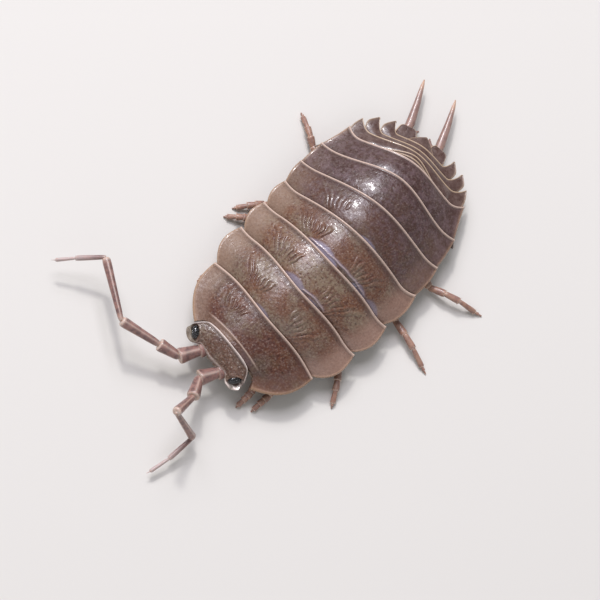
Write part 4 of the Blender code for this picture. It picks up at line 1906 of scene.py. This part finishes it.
@dataclass(frozen=True)
class TailFeeler:
    """A uropod: flat protopod, long cone of the outer branch and short inner branch."""

    side: Side
    plate: tuple[Spot, ...]
    cone: tuple[Joint, ...]
    inner: tuple[Joint, ...]
    thick: float = 0.12
    rim: Ridge = Ridge(0.02, 0.08, 0.05)
    rings: int = 24
    flat: float = 0.8
    bristles: int = 14
    bristle_turn: float = 2.4
    bristle_length: float = 0.16
    bristle_half: float = 0.012

    def build(self, master: LimbMaster, top: Material, finish: Material) -> None:
        """Make the protopod with its rim and the two branches.

        Args:
            master: the masters of the articles.
            top: the protopod's finish.
            finish: the branches' finish.
        """
        protopod = self.protopod()
        dress(protopod, finish, top)
        for face in protopod.data.polygons:
            face.material_index = 1
        branches = [self.branch(master, self.cone), self.branch(master, self.inner)]
        for branch in branches:
            dress(branch, finish)
        item = join(f"tail_feeler_{self.side.word}", [protopod, *branches])
        paint(item, tip=fade(item, point(self.cone[-1][0]), 1.1, 0.9))
        hang(item, "tail_feeler", f"uropod_{self.side.word}")

    def protopod(self) -> Object:
        """A flat four-cornered plate with rounded corners and a pale rim.

        Returns:
            The plate.
        """
        corner, flatness, swell = 5, 0.6, 0.40
        item = ball("protopod", 64, 40)
        x, y, lift = corners(item).T
        turn, girth = np.arctan2(y, x), np.hypot(x, y) ** flatness
        square = (np.abs(np.cos(turn)) ** corner + np.abs(np.sin(turn)) ** corner) ** (-1 / corner)
        a = (girth * square * np.cos(turn) + 1) / 2
        b = (girth * square * np.sin(turn) + 1) / 2
        first, second, third, fourth = (np.array(spot) for spot in self.plate)
        near, far = mix(first, second, b[:, None]), mix(fourth, third, b[:, None])
        v, u, z = mix(near, far, a[:, None]).T
        edge = 1 - girth
        z = z + self.thick * np.sign(lift) * np.abs(lift) ** swell + self.rim.over(edge)
        move_corners(item, place(v, u, z))
        tone(item, 1.0)
        paint(item, margin=0.9 * ramp(edge, 0.10, -0.05))
        return item

    def branch(self, master: LimbMaster, joints: tuple[Joint, ...]) -> Object:
        """A smooth tapering branch through its joints, with a few bristles.

        Args:
            master: the masters, for the bristle.
            joints: each joint's place and radius.

        Returns:
            The branch.
        """
        put_down()
        bpy.ops.mesh.primitive_cylinder_add(vertices=28, radius=1.0, depth=1.0, location=(0, 0, 0.5))
        bpy.ops.object.transform_apply(location=True, rotation=False, scale=False)
        cone = named("branch")
        with editing():
            for k in range(1, self.rings):
                bpy.ops.mesh.select_all(action="SELECT")
                bpy.ops.mesh.bisect(plane_co=(0, 0, k / self.rings), plane_no=(0, 0, 1))
        x, y, t = corners(cone).T
        spots = np.array([point(spot) for spot, _ in joints])
        steps = np.linalg.norm(np.diff(spots, axis=0), axis=1)
        stations = np.concatenate([[0], np.cumsum(steps)]) / steps.sum()
        radii = [radius for _, radius in joints]
        axis = Vector(spots[-1] - spots[0]).normalized()
        side = axis.cross(Vector((0, 0, 1))).normalized()
        lift = side.cross(axis)
        middle = np.stack([np.interp(t, stations, spots[:, i]) for i in range(3)], axis=1)
        ring = x[:, None] * np.array(side) + self.flat * y[:, None] * np.array(lift)
        move_corners(cone, middle + np.interp(t, stations, radii)[:, None] * MM * ring)
        parts = [cone]
        for i in range(self.bristles):
            share = 0.35 + 0.6 * i / self.bristles
            spot = Vector([float(np.interp(share, stations, spots[:, k])) for k in range(3)])
            radius = float(np.interp(share, stations, radii)) * MM
            out = side * math.cos(self.bristle_turn * i) + lift * math.sin(self.bristle_turn * i)
            foot = spot + out * radius * 0.75
            tip = foot + (axis + out * 0.5).normalized() * self.bristle_length * MM
            parts.append(round_copy(master.bristle, foot, tip, self.bristle_half))
        item = join("branch", parts)
        take(item)
        with editing():
            face_out()
        paint(item, joint=0.0)
        item.data.shade_smooth()
        return item


# Underside


@dataclass(frozen=True)
class Belly:
    """The soft, ringed underside between the legs, which rises outside them to the side plates."""

    start: float = -8.9
    stop: float = 8.35
    reach: float = 0.90
    height: float = 1.46
    clearance: float = 0.42
    groove: float = 0.05
    fold: Ridge = Ridge(0.09, -0.2, 0.10)
    lumps: Lumps = Lumps(0.012, 0.4, 2)
    thickness: float = 0.08
    columns: int = 120
    rows: int = 300

    def build(self, finish: Material) -> None:
        """Make the skin with a fold where every two plates meet.

        Args:
            finish: its material.
        """
        item = sheet("belly_skin", self.columns, self.rows)
        grid = corners(item)
        s = grid[:, 0] * self.reach
        out = np.abs(s)
        u = mix(self.start, self.stop, (grid[:, 1] + 1) / 2)
        edges = EDGES + [REAR_EDGES[2], REAR_EDGES[4]]
        along = [edge.flank for edge in edges]
        sizes = [(edge.half, edge.crest, edge.rim, edge.shift) for edge in edges]
        half, crest, rim, shift = (np.interp(u, along, size) for size in zip(*sizes))
        roof = mix(rim, crest, arch(s)) - self.clearance
        floor = self.height + self.groove * np.cos(np.pi * s / 0.5)
        z = mix(np.minimum(floor, roof), roof, ramp(out, 0.50, 0.20))
        for edge in along[1:]:
            z += self.fold.over(u - edge) * (1 - ramp(out, 0.55, 0.2))
        z += self.lumps.over(s * half, u)
        move_corners(item, place(s * half + shift, u, z))
        dress(item, finish)
        thicken(item, self.thickness)
        hang(item, "gill")


@dataclass(frozen=True)
class GillFlaps:
    """Five pale overlapping flaps on each side below the rear body."""

    side: Side
    count: int = 5
    start: float = 7.55
    pitch: float = 0.33
    length: float = 0.52
    inner: float = 0.14
    outer: float = 1.55
    taper: float = 0.07
    height: float = 1.04
    slope: float = 0.42
    thickness: float = 0.05

    def flap(self, number: int) -> Object:
        """One flap as a curved sheet with a rounded rear edge.

        Args:
            number: its place from the front.

        Returns:
            The sheet.
        """
        sign = self.side.value
        item = sheet("flap", 24, 16)
        grid = corners(item)
        a, t = (sign * grid[:, 0] + 1) / 2, (grid[:, 1] + 1) / 2
        v = mix(self.inner, self.outer - self.taper * number - 0.12 * t ** 2, a)
        round_end = 1 - 0.35 * (2 * a - 1) ** 4
        u = self.start + self.pitch * number + self.length * t * round_end
        z = self.height - self.slope * t + 0.10 * a ** 2 + 0.05 * np.sin(np.pi * a)
        move_corners(item, place(sign * v, u, z))
        return item

    def build(self, finish: Material) -> None:
        """Make the flaps.

        Args:
            finish: their material.
        """
        flaps = [self.flap(i) for i in range(self.count)]
        for flap in flaps:
            dress(flap, finish, finish)
            thicken(flap, self.thickness)
        item = join(f"gill_flaps_{self.side.word}", flaps)
        hang(item, "gill", f"pleopods_{self.side.word}")


@dataclass(frozen=True)
class Lobe:
    """A flattened lobe of the mouth: places of root and rounded tip, half width and half thickness."""

    root: Spot
    tip: Spot
    wide: float
    thick: float
    swell: float = 0.25

    def build(self, sign: int = 1) -> Object:
        """Make the lobe.

        Args:
            sign: 1 as it is, -1 mirrored to the right.

        Returns:
            The lobe.
        """
        item = ball("lobe", 28, 20)
        x, y, z = corners(item).T
        along = (z + 1) / 2
        fuller = 1 + self.swell * np.sin(np.pi * along)
        move_corners(item, np.stack([x * fuller, y * fuller, along], axis=1))
        root, tip = (point((sign * v, u, z)) for v, u, z in (self.root, self.tip))
        item.data.transform(aim_along(root, tip, self.wide, self.thick))
        return item


@dataclass(frozen=True)
class Mouth:
    """The closed mouthparts below the head: lip, jaws and the pair of flat palps that cover them."""

    lip: Lobe = Lobe((0.0, -9.84, 1.20), (0.0, -10.02, 0.84), 0.26, 0.10)
    # Of one side: the palp's plate, its end, its small outer tip and the jaw behind it
    lobes: tuple[Lobe, ...] = (
        Lobe((0.27, -9.12, 1.02), (0.30, -9.86, 0.70), 0.27, 0.13),
        Lobe((0.30, -9.74, 0.74), (0.22, -10.00, 0.58), 0.15, 0.10),
        Lobe((0.40, -9.72, 0.80), (0.44, -9.96, 0.70), 0.10, 0.08),
        Lobe((0.56, -9.45, 1.12), (0.34, -9.98, 0.92), 0.16, 0.20),
    )

    def build(self, finish: Material) -> None:
        """Make the lobes of both sides and the lip.

        Args:
            finish: their material.
        """
        parts = [self.lip.build()] + [lobe.build(side.value) for side in Side for lobe in self.lobes]
        item = join("mouth_palps", parts)
        dress(item, finish)
        hang(item, "mouthparts", "mouthparts")


# Studio


@dataclass(frozen=True)
class Lamp:
    """A square soft light that faces the animal: its direction, distance and side in metres, and watts."""

    name: str
    toward: tuple[float, float, float]
    distance: float
    size: float
    power: float
    colour: str

    def build(self) -> None:
        """Hang the light."""
        direction = Vector(self.toward).normalized()
        put_down()
        bpy.ops.object.light_add(type="AREA", location=direction * self.distance)
        light = bpy.context.object
        light.name = self.name
        light.rotation_euler = direction.to_track_quat("Z", "Y").to_euler()
        light.data.size = self.size
        light.data.energy = self.power
        light.data.color = linear(self.colour)[:3]


@dataclass(frozen=True)
class Studio:
    """Pale floor, window-like lights and the camera at the photo's angle."""

    elevation: float = math.radians(71)
    roll: float = math.radians(42.5)
    pixels_per_mm: float = 16.5
    frame_pixels: float = 600.0
    # Where the middle of the body stands in the frame, in pixels from its left and top
    body_x: float = 330.0
    body_y: float = 262.0
    distance: float = 0.25
    sensor: float = 36.0
    floor_size: float = 0.8
    sky: str = "#F2F4F8"
    sky_strength: float = 0.37
    lamps: tuple[Lamp, ...] = (
        Lamp("window", (-0.48, 0.26, 0.84), 0.30, 0.19, 0.80, "#F3F2FF"),
        Lamp("spark", (-0.55, 0.34, 0.76), 0.45, 0.045, 0.75, "#FFFFFF"),
        Lamp("fill", (0.5, -0.75, 0.6), 0.45, 0.40, 0.30, "#F7F9FF"),
    )

    def camera(self) -> None:
        """Stand the camera where the photo was taken from."""
        back = Vector((0, -math.cos(self.elevation), math.sin(self.elevation)))
        tall = Vector((0, math.sin(self.elevation), math.cos(self.elevation)))
        right = math.cos(self.roll) * Vector((1, 0, 0)) + math.sin(self.roll) * tall
        up = -math.sin(self.roll) * Vector((1, 0, 0)) + math.cos(self.roll) * tall
        centre = self.frame_pixels / 2
        aim = Vector((-ORIGIN_X, -ORIGIN_Y, 0))
        aim += right * ((centre - self.body_x) / self.pixels_per_mm)
        aim += up * ((self.body_y - centre) / self.pixels_per_mm)
        pose = Matrix((right, up, back)).transposed().to_4x4()
        pose.translation = aim * MM + back * self.distance
        put_down()
        bpy.ops.object.camera_add()
        stand = bpy.context.object
        stand.matrix_world = pose
        stand.data.sensor_width = self.sensor
        stand.data.lens = self.sensor * self.distance / (self.frame_pixels / self.pixels_per_mm * MM)
        stand.data.clip_start = 0.01
        stand.data.clip_end = 10.0
        bpy.context.scene.camera = stand

    def build(self) -> None:
        """Set up the floor, lights, world and camera."""
        put_down()
        bpy.ops.mesh.primitive_plane_add(size=self.floor_size)
        floor = named("studio_floor")
        dress(floor, CardFinish().build())
        for lamp in self.lamps:
            lamp.build()
        world = bpy.data.worlds.new("soft_room")
        bpy.context.scene.world = world
        world.use_nodes = True
        sky = world.node_tree.nodes["Background"]
        sky.inputs["Color"].default_value = linear(self.sky)
        sky.inputs["Strength"].default_value = self.sky_strength
        self.camera()


# The animal

# Joints of each feeler from the head out, with the radius of the article that ends there
FEELERS = {
    Side.LEFT: (
        ((0.86, -10.30, 1.58), 0.38), ((0.40, -11.47, 1.64), 0.48), ((1.08, -12.68, 2.26), 0.40),
        ((1.26, -14.62, 4.14), 0.29), ((2.89, -13.86, 0.85), 0.25), ((2.98, -15.76, 0.66), 0.17),
        ((2.86, -17.10, 0.54), 0.12)),
    Side.RIGHT: (
        ((-0.86, -10.30, 1.58), 0.38), ((-1.36, -11.58, 1.60), 0.48), ((-2.62, -12.14, 1.90), 0.40),
        ((-5.07, -13.22, 2.60), 0.32), ((-8.63, -11.40, 2.30), 0.26), ((-9.75, -12.71, 1.70), 0.17),
        ((-10.42, -13.62, 1.36), 0.12)),
}
# Where each leg's knee and foot stand (v mirrored on the right) and how high the shin rises
LEGS = {
    Side.LEFT: [
        ((2.96, -9.23), (3.07, -10.40), 0.10), ((3.77, -8.50), (3.83, -9.85), 0.05),
        ((5.28, -4.25), (6.72, -5.92), 0.20), ((4.70, -0.30), (4.95, -2.55), 0.00),
        ((5.40, 0.03), (8.95, -0.70), 0.30), ((5.60, 2.62), (9.20, 3.30), 0.50),
        ((4.12, 5.55), (4.40, 7.35), 0.00)],
    Side.RIGHT: [
        ((3.10, -7.30), (3.00, -8.62), 0.00), ((4.15, -5.30), (4.30, -7.25), 0.00),
        ((5.15, -2.02), (6.31, -3.20), 0.15), ((5.25, -0.55), (6.35, -2.35), 0.15),
        ((4.70, 2.50), (5.05, 0.60), 0.00), ((5.20, 5.15), (6.98, 6.75), 0.25),
        ((3.82, 5.95), (3.95, 7.45), 0.00)],
}
# Share of the half width where the coxae stand, and how the plates' inner faces taper and slant above them
COXA_SHARE = 0.44
COXA_GAP = 0.30
UNDER_TAPER = 0.985
FACE_SLANT = 0.30
BELLY_HEIGHT = 1.60

# Corners of each protopod, from the inner front one round, then the joints of the branches
TAIL_PLATES = {
    Side.LEFT: ((0.52, 8.78, 1.26), (0.80, 9.70, 1.14), (1.80, 9.56, 1.14), (1.98, 8.68, 1.26)),
    Side.RIGHT: ((-1.72, 8.64, 1.26), (-1.60, 9.60, 1.14), (-0.60, 9.78, 1.14), (-0.14, 8.96, 1.26)),
}
TAIL_CONES = {
    Side.LEFT: (((1.24, 9.36, 1.00), 0.27), ((1.12, 9.98, 0.97), 0.29), ((0.82, 11.40, 0.92), 0.21),
                ((0.52, 12.50, 0.89), 0.12), ((0.39, 12.94, 0.88), 0.04)),
    Side.RIGHT: (((-1.08, 9.36, 1.00), 0.27), ((-1.14, 9.98, 0.97), 0.29), ((-1.49, 11.40, 0.92), 0.21),
                 ((-1.79, 12.46, 0.89), 0.12), ((-1.90, 12.88, 0.88), 0.04)),
}
INNER_BRANCH = (((1.00, 9.50, 0.62), 0.22), ((0.62, 9.70, 0.44), 0.18), ((0.40, 10.08, 0.40), 0.05))

# How dusky each trunk plate is at its front and rear, how grainy and how wrinkled
DUSKS = [(0.42, 0.26), (0.10, 0.05), (0.0, 0.05), (0.05, 0.25), (0.62, 0.80), (0.85, 0.95), (0.95, 1.0)]
GRAINS = [1.0, 1.0, 1.0, 0.9, 0.6, 0.6, 0.5]
WRINKLES = [0.017, 0.010, 0.006, 0.006, 0.008, 0.008, 0.004]
# Wet lenses and combs by the number of their plate
FACETS = {
    2: Facet(((-1.15, 0.49, 0.24, 0.60),)),
    3: Facet(((-1.40, 0.72, 0.50, 0.68), (0.50, 2.10, 0.20, 0.72)), (0.20, 2.20)),
    4: Facet(((-2.00, 0.82, 0.62, 0.85), (1.75, 3.25, 0.44, 0.85), (3.00, 4.60, 0.42, 0.60)),
             (-1.90, 3.40)),
    5: Facet(((0.10, 1.85, 0.24, 0.70),)),
}
SCARS = {
    1: Scar(0.75, -7.25, 0.50, pitch=0.27, long=0.34, left=0.3),
    2: Scar(0.95, -5.20, 0.9),
    3: Scar(1.20, -2.78, 1.0),
    4: Scar(1.15, -0.42, 1.0),
    5: Scar(1.20, 1.95, 0.3),
}


@dataclass(frozen=True)
class Looks:
    """The finishes that the pieces share."""

    inside: Material
    rear: Material
    limbs: Material
    feelers: Material
    cones: Material
    gills: Material
    skin: Material

    @classmethod
    def mix_up(cls) -> "Looks":
        """Make the finishes.

        Returns:
            All of them.
        """
        return cls(
            # Chalky inside of the cuticle, never waxed: pale and dull
            inside=SkinFinish("cuticle_inside", "#8A7060", "#6F5848").build(),
            # Thinner cuticle over the dark gut: dusky, with few mottles and cream edges
            rear=ShellFinish("dusky_cuticle", dusk="#4E362F", slate="#614B44", mottle_strength=0.2,
                             margin="#BFA488", grit_strength=0.10).build(),
            # Thin flexible cuticle of the legs: flesh shows through
            limbs=LimbFinish("limb_cuticle", shaft="#A17C69", deep="#876459", pale="#D2B5A2").build(),
            # The same with more pigment: greyer, and paler towards the lash
            feelers=LimbFinish("feeler_cuticle", shaft="#936E65", deep="#6D514D", pale="#D2BBAB",
                               tip="#BFAAA4").build(),
            # Smooth cones that end in a light tip
            cones=LimbFinish("tail_feeler_cuticle", shaft="#98796E", deep="#866A62", tip="#BE9C84",
                             pale="#B08D7B").build(),
            # Membrane as thin as paper: nearly colourless
            gills=SkinFinish("gill_membrane", "#CBB8A4", "#B59F8B").build(),
            # Soft skin between the legs: pale, a little cloudy
            skin=SkinFinish("belly_skin", "#A8937F", "#8E7A68").build(),
        )


def build_shell(looks: Looks) -> None:
    """Build the plates of trunk, rear body and tail.

    Args:
        looks: the shared finishes.
    """
    # Broad trunk plates with their skin of wax: satin, with soft window lights
    waxed = ShellFinish("waxed_cuticle", dent_height=0.036).build()
    # The first plate's wax is worn: redder, rougher and drier
    dry = ShellFinish("dry_cuticle", warm="#653A22", olive="#6A5540", mottle="#47211A", mottle_strength=0.9,
                      fleck_strength=0.12, grit_strength=0.24, roughness=0.46, coat=0.12, ior=1.40).build()
    fronts = [NECK] + EDGES[1:-1]
    for i, (front, rear) in enumerate(zip(fronts, EDGES[1:])):
        plate = TrunkPlate(i + 1, front, rear, FRONT_HALVES[i], ROUNDINGS[i], BULGES[i], DUSKS[i],
                           FACETS.get(i + 1), SCARS.get(i + 1), GRAINS[i], WRINKLES[i],
                           tuck=0.5 if i else 0.0)
        plate.build(waxed if i else dry, looks.inside)
    fronts = [EDGES[-1]] + REAR_EDGES[:-1]
    for i, (front, rear) in enumerate(zip(fronts, REAR_EDGES)):
        RearPlate(i + 1, front, rear, REAR_FRONT_HALVES[i], REAR_BULGES[i]).build(looks.rear, looks.inside)
    TailPlate().build(looks.rear, looks.inside)


def build_head() -> None:
    """Build the eyes and the head that carries them."""
    # The left lobe's rim gets the full painted highlight, the right one's a fifth of it
    eyes = [Eye(Side.LEFT, math.radians(66), z=1.94, outline=1.0), Eye(Side.RIGHT)]
    black = EyeFinish("eye_lens").build()
    for eye in eyes:
        eye.build(black)
    # Cuticle set with fine granules: the driest-looking part, with light grains, painted glints and a pale
    # border that also carries a painted highlight
    granular = ShellFinish("granular_head_cuticle", warm="#6E4C37", olive="#756351", dusk="#4A3227",
                           fleck_strength=0.35, wet="#8F8474", margin="#E3D2C8", grit_strength=0.35).build()
    Head().build(granular, eyes)


def leg_root(number: int) -> tuple[float, float]:
    """Where the coxa of a leg stands, below the middle of its plate.

    Args:
        number: the plate's number.

    Returns:
        v on the left side, and u.
    """
    i = number - 1
    front, rear = EDGES[i], EDGES[number]
    half = mix(FRONT_HALVES[i], rear.half, 1 - 0.5 ** ROUNDINGS[i]) + BULGES[i]
    v = COXA_SHARE * half + mix(front.shift, rear.shift, 0.5)
    start = float(front.at(COXA_SHARE, FRONT_HALVES[i])) + (COXA_GAP if i else 0.0)
    u = mix(start, float(rear.at(COXA_SHARE, rear.half)), 0.5)
    crest = mix(front.crest, rear.crest, 0.5) + CROWN
    z = mix(mix(front.rim, rear.rim, 0.5), crest, float(arch(COXA_SHARE)))
    return v * UNDER_TAPER, u - FACE_SLANT * (z - BELLY_HEIGHT)


def build_limbs(looks: Looks) -> None:
    """Build the feelers, legs, tail feelers and gill flaps of both sides.

    Args:
        looks: the shared finishes.
    """
    master = LimbMaster()
    for side in Side:
        sign = side.value
        Feeler(side, FEELERS[side]).build(master, looks.feelers)
        for number, (knee, foot, rise) in enumerate(LEGS[side], start=1):
            root, knee, foot = ((sign * v, u) for v, u in (leg_root(number), knee, foot))
            Leg(side, number, root, knee, foot, rise).build(master, looks.limbs)
        inner = tuple(((sign * v, u, z), radius) for (v, u, z), radius in INNER_BRANCH)
        tail = TailFeeler(side, TAIL_PLATES[side], TAIL_CONES[side], inner)
        tail.build(master, looks.rear, looks.cones)
        GillFlaps(side).build(looks.gills)
    master.clear()


def main() -> None:
    """Load the solids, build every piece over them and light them."""
    logging.basicConfig(level=logging.INFO, format="%(name)s: %(message)s")
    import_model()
    looks = Looks.mix_up()
    build_shell(looks)
    build_head()
    build_limbs(looks)
    Belly().build(looks.skin)
    Mouth().build(looks.skin)
    Studio().build()
    bpy.context.scene.view_settings.view_transform = "Standard"


if __name__ == "__main__":
    main()
